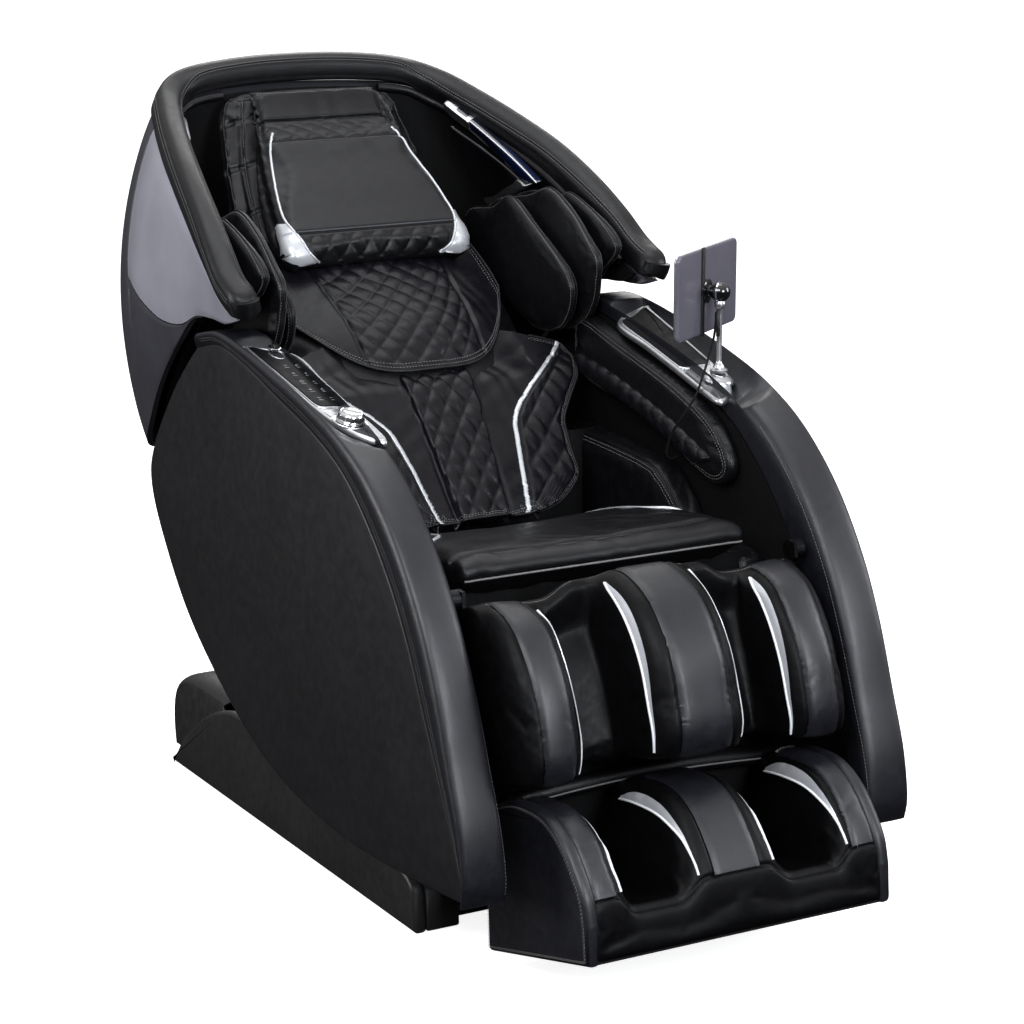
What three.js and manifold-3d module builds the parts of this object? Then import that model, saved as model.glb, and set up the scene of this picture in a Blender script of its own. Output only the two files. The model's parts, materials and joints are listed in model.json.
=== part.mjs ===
// A full-body massage chair: a base on skirts, a sliding seat carriage with padded arms, a reclining
// back inside a hood, a lifting leg unit with a sliding footrest, a phone pad and a tablet stand.
// Millimetres, +Z up. The sitter faces -Y, so the sitter's left is +X. The origin is on the floor,
// at the middle of the base chassis plate.
import * as THREE from 'three';
import { LoftGeometry } from 'three/addons/geometries/LoftGeometry.js';
import { RoundedBoxGeometry } from 'three/addons/geometries/RoundedBoxGeometry.js';
import { mergeVertices } from 'three/addons/utils/BufferGeometryUtils.js';
import Module from 'manifold-3d';

const wasm = await Module();
wasm.setup();

// Driving dimensions
const GAP = 0.3; // clearance between touching pieces
const ARM_OUT = 390; // outer face of an arm, from the middle plane
const ARM_IN = 323; // inner face of an arm
const ARM_PANEL = 18; // thickness of the arm's outer panel
const SEAT_HALF = 262; // half width of the seat cushion
const PAD_IN = 268; // inner face of the arm's lower pad
const LEG_HALF = 291; // half width of the calf cushion
const FOOT_HALF = 270; // half width of the foot unit
const SKIRT_OUT = 315; // outer face of a base skirt
const RECLINE_AXIS = [80, 460]; // Y and Z of the backrest hinge
const LEG_AXIS = [-560, 575]; // Y and Z of the leg unit's hinge
const RIM_DEEP = 46; // depth of the padded hood rim, inwards
const RIM_DOWN = 30; // height of the padded hood rim
const STAND = new THREE.Vector3(345, -277, 803); // foot of the tablet stand
const BALL_Z = 947; // height of the stand's ball joint

const chair = new THREE.Group();
const finishes = {
  leather: finish(0x17171b, 0.42, 0),
  quilt: finish(0x1b1a20, 0.4, 0),
  lining: finish(0x0b0b0d, 0.7, 0),
  shell: finish(0x232326, 0.5, 0),
  gloss: finish(0x8a8a94, 0.2, 0),
  satin: finish(0xb9bbc0, 0.3, 0.6),
  chrome: finish(0xe2e4e8, 0.08, 1),
  glass: finish(0x08080b, 0.06, 0),
  plastic: finish(0x131315, 0.5, 0),
  steel: finish(0x5a5c60, 0.45, 0.8),
  rubber: finish(0x101010, 0.85, 0),
};

function finish(color, roughness, metalness) {
  return new THREE.MeshStandardMaterial({ color, roughness, metalness });
}

function add(name, geometry, look, parent = chair) {
  const mesh = new THREE.Mesh(geometry, finishes[look]);
  mesh.name = name;
  parent.add(mesh);
  return mesh;
}

// A group for each side: the left one as drawn, the right one mirrored.
function sides() {
  return [['left', 1], ['right', -1]].map(([side, sign]) => {
    const group = new THREE.Group();
    group.scale.x = sign;
    chair.add(group);
    return [side, group];
  });
}

function vec(x, y, z) {
  return new THREE.Vector3(x, y, z);
}

// Smooth points along an outline in the Y-Z plane.
function smooth(points, count) {
  return new THREE.SplineCurve(points.map(([y, z]) => new THREE.Vector2(y, z))).getPoints(count);
}

// An outline in the Y-Z plane, extruded along X from x0 to x1.
function plate(outline, x0, x1, bevel = 0) {
  const shape = new THREE.Shape(outline.map((p) => new THREE.Vector2(p.x ?? p[0], p.y ?? p[1])));
  const depth = x1 - x0 - 2 * bevel;
  const options = { depth, bevelEnabled: bevel > 0, bevelThickness: bevel, bevelSize: bevel };
  options.bevelSegments = bevel > 4 ? 2 : 1;
  options.bevelOffset = -bevel;
  options.steps = 1;
  const geometry = new THREE.ExtrudeGeometry(shape, options);
  const turn = new THREE.Matrix4().makeBasis(vec(0, 1, 0), vec(0, 0, 1), vec(1, 0, 0));
  turn.setPosition(x0 + bevel, 0, 0);
  return geometry.applyMatrix4(turn);
}

function box(x0, x1, y0, y1, z0, z1) {
  const geometry = new THREE.BoxGeometry(x1 - x0, y1 - y0, z1 - z0);
  return geometry.translate((x0 + x1) / 2, (y0 + y1) / 2, (z0 + z1) / 2);
}

function pad(x0, x1, y0, y1, z0, z1, radius) {
  const geometry = new RoundedBoxGeometry(x1 - x0, y1 - y0, z1 - z0, 2, radius);
  return geometry.translate((x0 + x1) / 2, (y0 + y1) / 2, (z0 + z1) / 2);
}

// A cylinder between two points.
function rod(from, to, radius, facets = 24, endRadius = radius) {
  const along = to.clone().sub(from);
  const geometry = new THREE.CylinderGeometry(endRadius, radius, along.length(), facets);
  const turn = new THREE.Quaternion().setFromUnitVectors(vec(0, 1, 0), along.clone().normalize());
  geometry.applyQuaternion(turn);
  const middle = from.clone().lerp(to, 0.5);
  return geometry.translate(middle.x, middle.y, middle.z);
}

// A closed body through a row of cross-sections, each turned so that the surface faces outwards.
function loft(sections) {
  const [first, next] = sections;
  const normal = vec(0, 0, 0);
  const way = vec(0, 0, 0);
  first.forEach((p, i) => {
    const q = first[(i + 1) % first.length];
    normal.add(p.clone().sub(first[0]).cross(q.clone().sub(first[0])));
    way.add(next[i]).sub(p);
  });
  const rings = normal.dot(way) < 0 ? sections.map((ring) => ring.slice().reverse()) : sections;
  return new LoftGeometry(rings, { capStart: true, capEnd: true });
}

function solid(geometry) {
  const bare = geometry.index ? geometry.toNonIndexed() : geometry.clone();
  for (const name of ['normal', 'uv']) bare.deleteAttribute(name);
  const merged = mergeVertices(bare, 1e-3);
  return new wasm.Manifold(new wasm.Mesh({
    numProp: 3,
    vertProperties: merged.attributes.position.array,
    triVerts: new Uint32Array(merged.index.array),
  }));
}

function surface(manifold) {
  const mesh = manifold.getMesh();
  const geometry = new THREE.BufferGeometry();
  geometry.setAttribute('position', new THREE.BufferAttribute(new Float32Array(mesh.vertProperties), 3));
  geometry.setIndex(new THREE.BufferAttribute(new Uint32Array(mesh.triVerts), 1));
  return geometry;
}

function join(...geometries) {
  return surface(geometries.map(solid).reduce((whole, next) => whole.add(next)));
}

function cut(geometry, ...tools) {
  return surface(tools.map(solid).reduce((whole, next) => whole.subtract(next), solid(geometry)));
}

// ---------------------------------------------------------------- base
const CHASSIS = { half: 250, front: -400, rear: 440, thick: 4 };
const RAIL = { inner: 200, outer: 212, front: -340, rear: 400, top: 128 };

function base() {
  const { half, front, rear, thick } = CHASSIS;
  add('base_chassis', join(
    box(-half, half, front, rear, 0, thick),
    box(-half - 42, half + 42, -330, -290, 0.5, 30),
    box(-half - 42, half + 42, 300, 340, 0.5, 30),
  ), 'steel');
  for (const [side, group] of sides()) {
    add(`${side}_slide_rail`, box(RAIL.inner, RAIL.outer, RAIL.front, RAIL.rear, 30 + GAP, RAIL.top), 'steel', group);
    add(`${side}_base_skirt`, skirt(), 'plastic', group);
    add(`${side}_transport_wheel`, wheel(), 'rubber', group);
  }
  add('wheel_axle', rod(vec(-232, 488, 40), vec(232, 488, 40), 5, 16), 'steel');
  add('rear_base_cover', rearCover(), 'plastic');
  add('control_box', pad(-90, 150, 150, 290, 4 + GAP, 100, 8), 'plastic');
  add('air_pump', pad(-150, 150, -230, -60, 4 + GAP, 110, 12), 'plastic');
  const switchCap = add('power_switch', new RoundedBoxGeometry(22, 7, 14, 1, 1.5), 'plastic');
  switchCap.position.set(-215, 601, 72);
}

// A side skirt: low and thin at the front, rising to a rounded hump behind.
function skirt() {
  const top = smooth([[514, 22], [468, 68], [378, 128], [300, 160], [215, 172], [40, 158], [-180, 128], [-380, 98]], 22);
  const outline = [[-437, 1], [529, 1], ...top.map((p) => [p.x, p.y]), [-432, 78]];
  return plate(outline, SKIRT_OUT - 22, SKIRT_OUT, 3);
}

// The rounded rear cover, a shell open to the front and below, with end walls.
function rearCover() {
  const out = [[430, 8], [600, 8], [600, 90], [588, 138], [560, 172], [520, 192], [470, 200], [430, 200]];
  const inside = [[420, 4], [594, 4], [594, 88], [582, 134], [556, 167], [518, 186], [470, 194], [420, 194]];
  const shell = cut(plate(out, -290, 290), plate(inside, -284, 284));
  const switchHole = box(-226.5, -203.5, 580, 620, 64.5, 79.5);
  const inlet = box(-186, -144, 572, 596, 56, 88);
  const socket = box(-178, -152, 584, 620, 63, 81);
  return cut(join(shell, inlet), switchHole, socket);
}

function wheel() {
  const profile = [[5.4, -12], [30, -12], [35, -9], [36, 0], [35, 9], [30, 12], [5.4, 12], [5.4, -12]];
  const geometry = lathe(profile, 24);
  return geometry.rotateZ(-Math.PI / 2).translate(212, 488, 40);
}

// ---------------------------------------------------------------- seat carriage
// The arm's padded band: its crown line and the seam where it meets the outer panel, front to rear.
const CROWN = [
  [-750, 166], [-757, 205], [-745, 281], [-712, 372], [-672, 479], [-620, 577], [-545, 673], [-450, 751],
  [-345, 803], [-230, 836], [-110, 861], [0, 879], [90, 886], [165, 872],
];
const SEAM = [
  [-736, 168], [-735, 200], [-706, 262], [-668, 335], [-618, 428], [-570, 520], [-510, 605], [-433, 684],
  [-352, 743], [-250, 783], [-125, 815], [-5, 846], [100, 862], [190, 843],
];
const ARM_REAR = [[230, 812], [300, 748], [385, 647], [412, 575], [370, 485], [251, 352], [58, 231],
  [-117, 168], [-340, 143], [-554, 151], [-725, 166]];
const BAND_STEPS = 26;

// Console plane: height of the console's underside at a place on the arm.
function consoleBase(x, y) {
  return 862 + 0.245 * (y - 20) - 0.1 * (368 - Math.abs(x));
}

function armPanelOutline(inset) {
  const front = smooth(SEAM, 30).map((p) => [p.x, p.y]);
  const rear = smooth(ARM_REAR, 26).map((p) => [p.x, p.y]);
  const ring = [...front, ...rear];
  return ring.map((p, i) => {
    const before = ring[(i + ring.length - 1) % ring.length];
    const after = ring[(i + 1) % ring.length];
    const along = new THREE.Vector2(after[0] - before[0], after[1] - before[1]).normalize();
    return [p[0] + along.y * inset, p[1] - along.x * inset];
  });
}

// One cross-section of the band, between its crown and the seam with the outer panel.
function bandSection(crown, seam) {
  const at = (x, depth) => vec(x, seam.x + (crown.x - seam.x) * depth, seam.y + (crown.y - seam.y) * depth);
  return [at(ARM_IN, 0), at(ARM_OUT, 0), at(ARM_OUT, 0.6), at(386, 0.84), at(379, 0.98), at(369, 1), at(345, 0.98),
    at(330, 0.9), at(ARM_IN, 0.72)];
}

// The band, with a recess in its top where the console sits.
function armBand() {
  const seam = smooth(SEAM, BAND_STEPS);
  const whole = loft(smooth(CROWN, BAND_STEPS).map((point, i) => bandSection(point, seam[i])));
  const recess = [[288, -362], [324, -362], [356, -330], [376, -270], [396, -60], [396, 26], [372, 26], [288, -6]];
  return cut(whole, consoleSlab(recess, 0, 60));
}

function arms() {
  const panel = armPanelOutline(1.6);
  const core = armPanelOutline(4);
  for (const [side, group] of sides()) {
    add(`${side}_arm_panel`, plate(panel, ARM_OUT - ARM_PANEL, ARM_OUT, 2), 'shell', group);
    add(`${side}_arm_core`, plate(core, ARM_IN, ARM_OUT - ARM_PANEL - GAP), 'lining', group);
    add(`${side}_arm_band`, armBand(), 'leather', group);
    add(`${side}_arm_lower_pad`, lowerPad(), 'leather', group);
    add(`${side}_arm_upper_pad`, upperPad(), 'quilt', group);
  }
}

// The pad beside the sitter's thigh, below the forearm slot.
function lowerPad() {
  const outline = [[-448, 496], [-455, 540], [-300, 560], [-268, 590], [-215, 634], [-154, 650], [90, 660],
    [150, 640], [190, 560], [190, 400], [0, 380], [-290, 400]];
  return plate(smooth([...outline, outline[0]], 34).slice(0, -1), PAD_IN, ARM_IN - GAP, 8);
}

// The quilted pad above the forearm slot, with the padded roll under the console.
function upperPad() {
  const outline = [[-345, 668], [-372, 684], [-366, 700], [-330, 716], [-136, 754], [100, 786], [108, 760],
    [100, 738], [-137, 694], [-290, 674]];
  return plate(smooth([...outline, outline[0]], 30).slice(0, -1), 280, ARM_IN - GAP, 6);
}

const SEAT_TOP = [[-500, 588], [-487, 601], [-462, 607], [-389, 596], [-267, 562], [-107, 505], [-20, 482], [34, 474]];
const SEAT_UNDER = [[40, 460], [36, 424], [0, 416], [-200, 450], [-400, 520], [-470, 546], [-498, 560]];

function seat() {
  const outline = [...smooth(SEAT_TOP, 20), ...smooth(SEAT_UNDER, 12)].map((p) => [p.x, p.y]);
  add('seat_cushion', plate(outline, -SEAT_HALF, SEAT_HALF, 5), 'leather');
  const [, hingeZ] = RECLINE_AXIS;
  const both = (x0, x1, ...rest) => [box(x0, x1, ...rest), box(-x1, -x0, ...rest)];
  const bracket = [[-300, 330], [-540, 552], [-556, 560], [-556, 590], [-575, 590], [-578, 566], [-560, 540],
    [-330, 300]];
  const [legY, legZ] = LEG_AXIS;
  const lugs = [-1, 1].map((sign) => rod(vec(sign * 296, legY, legZ), vec(sign * 318, legY, legZ), 16, 20));
  add('seat_frame', join(
    box(-240, 240, -330, 150, RAIL.top + GAP, RAIL.top + 6),
    box(-240, 240, -290, -260, 392, 410),
    ...both(216, 236, -290, -260, 132, 410),
    ...both(216, 236, 70, 100, 132, 405),
    ...both(186, 236, 70, 100, 380, hingeZ - 68),
    ...both(230, 302, -330, -280, 296, 322),
    plate(bracket, 296, 302), plate(bracket, -302, -296), ...lugs,
  ), 'steel');
}

// The lower end of the back pad, lying over the rear of the seat.
function lumbarFlap() {
  const sections = [[-112, 560, 100], [-85, 580, 128], [-30, 616, 150], [8, 646, 160]].map(([y, z, half]) => [
    vec(-half, y + 20, z - 24), vec(half, y + 20, z - 24), vec(half, y + 6, z - 6), vec(half * 0.6, y, z),
    vec(-half * 0.6, y, z), vec(-half, y + 6, z - 6),
  ]);
  add('lumbar_flap', loft(sections), 'quilt');
}

// ---------------------------------------------------------------- consoles and stand
// A plan outline on the console plane, lifted by low and high above it.
function consoleSlab(outline, low, high) {
  const face = (lift) => outline.map(([x, y]) => vec(x, y, consoleBase(x, y) + lift));
  return loft([face(low), face(high)]);
}

const BEZEL = [[304, -21], [303, -120], [302, -218], [300, -300], [303, -338], [315, -343], [334, -331],
  [353, -303], [365, -264], [371, -222], [379, -120], [386, 2], [382, 14], [370, 14]];

function consoles() {
  for (const [side, group] of sides()) {
    add(`${side}_console_bezel`, consoleSlab(BEZEL, GAP, 10), 'satin', group);
  }
  const inlay = [[311, -29], [310, -211], [317, -220], [356, -222], [364, -214], [378, -4], [370, 6]];
  add('phone_pad', consoleSlab(inlay, 10 + GAP, 13), 'rubber');
  const glass = inlay.map(([x, y]) => [-x, y]).reverse();
  add('keypad_glass', consoleSlab(glass, 10 + GAP, 12.5), 'glass');
  const up = vec(0.0966, -0.237, 0.966).normalize();
  const knobFoot = vec(-336, -276, consoleBase(336, -276) + 10 + GAP);
  const knobTurn = new THREE.Quaternion().setFromUnitVectors(vec(0, 1, 0), up);
  const knob = lathe([[0, 1.5], [21, 1.5], [23, 3], [23, 7], [21, 14], [18, 17], [0, 17]], 24);
  add('knob', knob.applyQuaternion(knobTurn).translate(knobFoot.x, knobFoot.y, knobFoot.z), 'chrome');
  const button = lathe([[0, 2], [10, 2], [11, 3], [11, 4.5], [10, 5.2], [0, 5.2]], 20);
  const foot = vec(-338, -6, consoleBase(338, -6) + 12.5);
  add('power_button', button.applyQuaternion(knobTurn).translate(foot.x, foot.y, foot.z), 'chrome');
}

function lathe(profile, facets) {
  return new THREE.LatheGeometry(profile.map(([r, h]) => new THREE.Vector2(r, h)), facets);
}

// The stand: collar, slim pole, a round clamp housing and the ball.
function stand() {
  const { x, y, z } = STAND;
  const collarBase = consoleBase(x, y) + 22 - z;
  const profile = [[0, collarBase], [15, collarBase], [15, collarBase + 5], [9, collarBase + 12],
    [5, collarBase + 16], [4.5, 108], [13, 112], [15, 116], [15, 128], [11, 133], [6, 136], [0, 136]];
  add('stand_pole', lathe(profile, 20).rotateX(Math.PI / 2).translate(x, y, z), 'chrome');
}

// The tablet, its grip and the ball socket behind it, facing the sitter.
const TABLET = { wide: 248, tall: 143, thick: 9, centre: [338, -245, 943] };

function tablet() {
  const [cx, cy, cz] = TABLET.centre;
  const wideways = vec(0.829, 0.559, 0);
  const facing = vec(-0.559, 0.829, 0);
  const turn = new THREE.Matrix4().makeBasis(wideways, facing, vec(0, 0, 1)).setPosition(cx, cy, cz);
  const slab = new RoundedBoxGeometry(TABLET.wide, TABLET.thick, TABLET.tall, 1, 4).applyMatrix4(turn);
  const back = vec(STAND.x, STAND.y, BALL_Z);
  const socket = new THREE.SphereGeometry(8, 12, 8).translate(back.x, back.y, back.z);
  const neck = rod(back, back.clone().addScaledVector(facing, 28), 5, 12);
  add('tablet', join(slab, socket, neck), 'shell');
}

// The tablet's cable: down past the console's edge, over the arm pads and into the forearm slot.
const CABLE_RADIUS = 2;
const CABLE_ROUTE = [
  [336, -280, 910.6], [335, -281, 895], [331, -281, 866], [321, -283, 838], [307, -290, 812], [291, -292, 778],
  [276, -280, 744], [271, -256, 713], [270.5, -241, 687], [273, -234, 667], [283, -231, 659], [302, -230, 662],
  [322.6, -230, 663],
];

function cable() {
  const route = new THREE.CatmullRomCurve3(CABLE_ROUTE.map(([x, y, z]) => vec(x, y, z)), false, 'centripetal');
  const section = new THREE.Shape();
  for (let i = 0; i < 8; i += 1) {
    const angle = (i / 8) * 2 * Math.PI;
    const point = [CABLE_RADIUS * Math.cos(angle), CABLE_RADIUS * Math.sin(angle)];
    if (i) section.lineTo(...point);
    else section.moveTo(...point);
  }
  add('tablet_cable', new THREE.ExtrudeGeometry(section, { steps: 36, extrudePath: route }), 'rubber');
}

// ---------------------------------------------------------------- backrest
// The hood's surface: bottom, middle and top points of its ribs, from the wing tip round to the middle of the back.
const RIBS = [
  [[398, -18, 922], [405, -20, 932], [409, -22, 944]],
  [[397, 50, 902], [404, 50, 938], [408, 50, 975]],
  [[395, 120, 900], [400, 118, 958], [402, 110, 1017]],
  [[391, 200, 888], [398, 196, 976], [391, 180, 1064]],
  [[388, 268, 842], [397, 285, 985], [373, 280, 1118]],
  [[386, 352, 768], [396, 378, 978], [349, 380, 1160]],
  [[378, 432, 680], [391, 470, 955], [318, 485, 1200]],
  [[352, 512, 608], [370, 566, 930], [285, 567, 1230]],
  [[282, 566, 588], [298, 626, 920], [235, 615, 1249]],
  [[150, 592, 580], [158, 646, 915], [130, 632, 1262]],
];
const MIDDLE_RIB = [[0, 600, 578], [0, 652, 915], [0, 638, 1266]];

function fullRow(level) {
  const one = RIBS.map((rib) => vec(...rib[level]));
  const other = one.map((p) => vec(-p.x, p.y, p.z)).reverse();
  return new THREE.CatmullRomCurve3([...one, vec(...MIDDLE_RIB[level]), ...other], false, 'centripetal');
}

const HOOD_ROWS = [0, 1, 2].map(fullRow);

// A point of the hood at u (0 left wing tip, 1 right wing tip) and v (0 bottom, 1 rim).
function hoodPoint(u, v) {
  const [low, mid, high] = HOOD_ROWS.map((row) => row.getPoint(u));
  const control = mid.multiplyScalar(2).addScaledVector(low, -0.5).addScaledVector(high, -0.5);
  return new THREE.QuadraticBezierCurve3(low, control, high).getPoint(v);
}

function hoodFrame(u, v) {
  const step = 0.004;
  const along = hoodPoint(Math.min(1, u + step), v).sub(hoodPoint(Math.max(0, u - step), v)).normalize();
  const up = hoodPoint(u, Math.min(1, v + step)).sub(hoodPoint(u, Math.max(0, v - step))).normalize();
  return { point: hoodPoint(u, v), out: along.cross(up).normalize(), up };
}

function ribLength(u) {
  return hoodPoint(u, 0).distanceTo(hoodPoint(u, 0.5)) + hoodPoint(u, 0.5).distanceTo(hoodPoint(u, 1));
}

// A curved panel of the hood between two depths inwards; low and high give v at each u.
function hoodPatch(u0, u1, low, high, outer, inner, steps, rows) {
  const sections = [];
  for (let i = 0; i <= steps; i += 1) {
    const u = u0 + ((u1 - u0) * i) / steps;
    const v = Array.from({ length: rows + 1 }, (_, k) => low(u) + ((high(u) - low(u)) * k) / rows);
    const face = (depth) => v.map((value) => {
      const { point, out } = hoodFrame(u, value);
      return point.addScaledVector(out, -depth);
    });
    sections.push([...face(outer), ...face(inner).reverse()]);
  }
  return loft(sections);
}

const RIM_TOP = (u) => 1 - (RIM_DOWN + 6) / ribLength(u);
const LINING_TOP = (u) => 1 - (RIM_DOWN + 14) / ribLength(u);
// The lower edge of the glossy side panel, rising from under the wing to the rear.
const GLOSS_LOW = (u) => {
  const t = Math.min(u, 1 - u) / 0.36;
  return 0.02 + 0.5 * THREE.MathUtils.smoothstep(t, 0.42, 1);
};

function hoodRim() {
  const ring = [[3, -RIM_DOWN], [4, 0], [-3, 12], [-16, 16], [-32, 14], [-43, 7], [-RIM_DEEP, -8],
    [-RIM_DEEP, -RIM_DOWN]];
  const sections = [];
  const steps = 40;
  for (let i = 0; i <= steps; i += 1) {
    const u = i / steps;
    const { point, out, up } = hoodFrame(u, 1);
    sections.push(ring.map(([n, t]) => point.clone().addScaledVector(out, n).addScaledVector(up, t)));
  }
  return loft(sections);
}

function hood() {
  const shellTop = (u) => (u > 0.31 && u < 0.69 ? RIM_TOP(u) : Math.min(RIM_TOP(u), GLOSS_LOW(u) - 0.01));
  const full = () => 0;
  add('hood_shell', hoodPatch(0.125, 0.875, full, shellTop, 0, 12, 30, 4), 'shell');
  add('left_hood_panel', hoodPatch(0.05, 0.3, GLOSS_LOW, RIM_TOP, 0, 12, 10, 4), 'gloss');
  add('right_hood_panel', hoodPatch(0.7, 0.95, GLOSS_LOW, RIM_TOP, 0, 12, 10, 4), 'gloss');
  add('hood_rim', hoodRim(), 'leather');
  add('hood_lining', hoodPatch(0.05, 0.95, () => 0.03, LINING_TOP, 34, 40, 36, 3), 'lining');
}

// The back pad's edge line, up the back, with half width and crown at each place.
const BACK = [
  [20, 640, 172, 40], [90, 700, 215, 52], [195, 795, 245, 66], [285, 872, 250, 44], [365, 945, 240, 22],
  [432, 1025, 215, 10], [505, 1115, 185, 7], [558, 1200, 150, 5],
];
const BACK_STEPS = 14;

// A slice of the pad family: low and high are heights over the edge line at each place across.
function backSlice(t, low, high) {
  const edge = new THREE.SplineCurve(BACK.map(([y, z]) => new THREE.Vector2(y, z)));
  const size = new THREE.SplineCurve(BACK.map(([, , wide, high]) => new THREE.Vector2(wide, high)));
  const at = edge.getPoint(t);
  const along = edge.getTangent(t);
  const { x: half, y: crown } = size.getPoint(t);
  const across = [-1, -0.8, -0.4, 0, 0.4, 0.8, 1];
  const point = (f, height) => vec(f * half, at.x - along.y * height, at.y + along.x * height);
  const top = across.map((f) => point(f, high(f, crown, t)));
  const bottom = across.map((f) => point(f, low(f, crown, t))).reverse();
  return [...bottom, ...top];
}

function backLoft(first, last, low, high) {
  const slices = [];
  for (let i = first; i <= last; i += 1) slices.push(backSlice(i / BACK_STEPS, low, high));
  return loft(slices);
}

function backPads() {
  const dome = (f, crown) => crown * (1 - f * f);
  const behind = (f, crown, t) => -46 + 18 * t;
  add('back_pad', backLoft(0, BACK_STEPS, behind, dome), 'leather');
  const apron = backLoft(3, 6, (f, crown) => dome(f, crown) + 4, (f, crown) => dome(f, crown) + 16);
  add('back_apron', apron, 'quilt');
}

// The pillow's side profile, from the bottom of its back up and round the front; wider at the bottom.
function pillow() {
  const profile = [
    [318, 944, 150], [284, 936, 160], [272, 962, 182], [291, 994, 189], [372, 1068, 170], [449, 1140, 145],
    [498, 1168, 132], [541, 1228, 128], [552, 1220, 128], [511, 1158, 135], [424, 1055, 165], [345, 972, 165],
  ];
  const crossings = [-1, -0.94, 0, 0.94, 1];
  const sections = crossings.map((f) => {
    const pull = Math.abs(f) === 1 ? 3 : 0;
    return profile.map(([y, z, half], i) => {
      const front = i < 7 ? 1 : -1;
      return vec(f * half, y + front * pull * 0.7, z - front * pull * 0.7);
    });
  });
  add('pillow', loft(sections.map((ring) => ring.slice().reverse())), 'quilt');
}

// One shoulder airbag leaf: a padded plate standing beside the shoulder.
function shoulderBag(x, thick, shift) {
  const outline = smooth([[306, 1040], [210, 1004], [120, 935], [72, 895], [66, 850], [92, 812], [150, 815],
    [236, 900], [318, 985], [306, 1040]].map(([y, z]) => [y + shift, z + shift * 0.2]), 18).slice(0, -1);
  return plate(outline, x, x + thick, 7);
}

function shoulders() {
  for (const [side, group] of sides()) {
    add(`${side}_shoulder_bag_inner`, shoulderBag(262, 25, 0), 'leather', group);
    add(`${side}_shoulder_bag_outer`, shoulderBag(292, 25, -12), 'leather', group);
  }
  const bands = { speaker: [0.62, 0.83, 0.24, 0.325, 46, 60], light_strip: [0.85, 0.93, 0.2, 0.315, 47, 56] };
  for (const [name, [v0, v1, u0, u1, outer, inner]] of Object.entries(bands)) {
    const look = name === 'speaker' ? 'glass' : 'chrome';
    add(`left_${name}`, hoodPatch(u0, u1, () => v0, () => v1, outer, inner, 6, 2), look);
    add(`right_${name}`, hoodPatch(1 - u1, 1 - u0, () => v0, () => v1, outer, inner, 6, 2), look);
  }
}

// ---------------------------------------------------------------- back frame and massage works
// The works lie in a straight slanted frame: s up the back, n forwards, from a point behind the pad.
const WORKS = { y: 190, z: 790, tilt: Math.atan2(0.72, 0.694) };

function slanted(x0, x1, s0, s1, n0, n1) {
  const geometry = box(x0, x1, s0, s1, n0, n1);
  return geometry.rotateX(WORKS.tilt).translate(0, WORKS.y, WORKS.z);
}

function slantedRod(x0, x1, s, n, radius, facets = 20) {
  const geometry = rod(vec(x0, s, n), vec(x1, s, n), radius, facets);
  return geometry.rotateX(WORKS.tilt).translate(0, WORKS.y, WORKS.z);
}

function pair(make) {
  return [make(1), make(-1)];
}

// A slanted block on the +X side (sign 1) or its mirror on the -X side.
function slantedOn(sign, x0, x1, ...rest) {
  return sign > 0 ? slanted(x0, x1, ...rest) : slanted(-x1, -x0, ...rest);
}

function works() {
  const [hingeY, hingeZ] = RECLINE_AXIS;
  const ear = [[hingeY - 28, hingeZ - 28], [hingeY + 60, hingeZ - 10], [210, 600], [150, 650], [60, 560],
    [hingeY - 30, hingeZ + 20]];
  add('back_frame', join(
    ...pair((sign) => slantedOn(sign, 176, 182, -190, 380, -160, -80)),
    plate(ear, 176, 182), plate(ear, -182, -176),
    slantedRod(-180, 180, -180, -150, 9), slantedRod(-180, 180, 370, -150, 9),
  ), 'steel');
  add('massage_track', join(
    ...pair((sign) => slantedOn(sign, 152, 166, -160, 350, -146, -116)),
    slanted(-153, 153, -160, -148, -146, -134), slanted(-153, 153, 338, 350, -146, -134),
  ), 'steel');
  add('massage_carriage', join(
    slanted(-148, 148, -110, -10, -152, -137),
    ...pair((sign) => slantedOn(sign, 78, 86, -80, -40, -140, -110)),
  ), 'plastic');
  add('roller_fork', join(
    ...pair((sign) => slantedOn(sign, 66, 73, -67, -53, -132.5, -86)),
    slantedRod(-77, 77, -60, -128.5, 3.8, 16),
  ), 'steel');
  const drum = [[0, -62], [5, -62], [5, -58], [22, -58], [26, -48], [26, -36], [22, -26], [5, -26]];
  const profile = [...drum, ...drum.map(([r, h]) => [r, -h]).reverse()];
  const rollers = lathe(profile, 20).rotateZ(-Math.PI / 2).translate(0, -60, -98);
  add('massage_rollers', rollers.rotateX(WORKS.tilt).translate(0, WORKS.y, WORKS.z), 'rubber');
}

// ---------------------------------------------------------------- leg unit
// The leg unit's crest line at the middle ridge, the same at the outer ridges, and the line behind.
const CALF = [
  { crest: [-552, 588], outer: [-552, 566], back: [-530, 520] },
  { crest: [-600, 600], outer: [-600, 568], back: [-538, 480] },
  { crest: [-660, 582], outer: [-650, 552], back: [-545, 430] },
  { crest: [-706, 556], outer: [-690, 518], back: [-552, 390] },
  { crest: [-762, 462], outer: [-742, 440], back: [-565, 345] },
  { crest: [-790, 395], outer: [-756, 360], back: [-590, 318] },
  { crest: [-785, 345], outer: [-745, 320], back: [-610, 304] },
];
const CALF_FLOOR = 0.42; // trough floor, as a share of the way from back to crest

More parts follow.
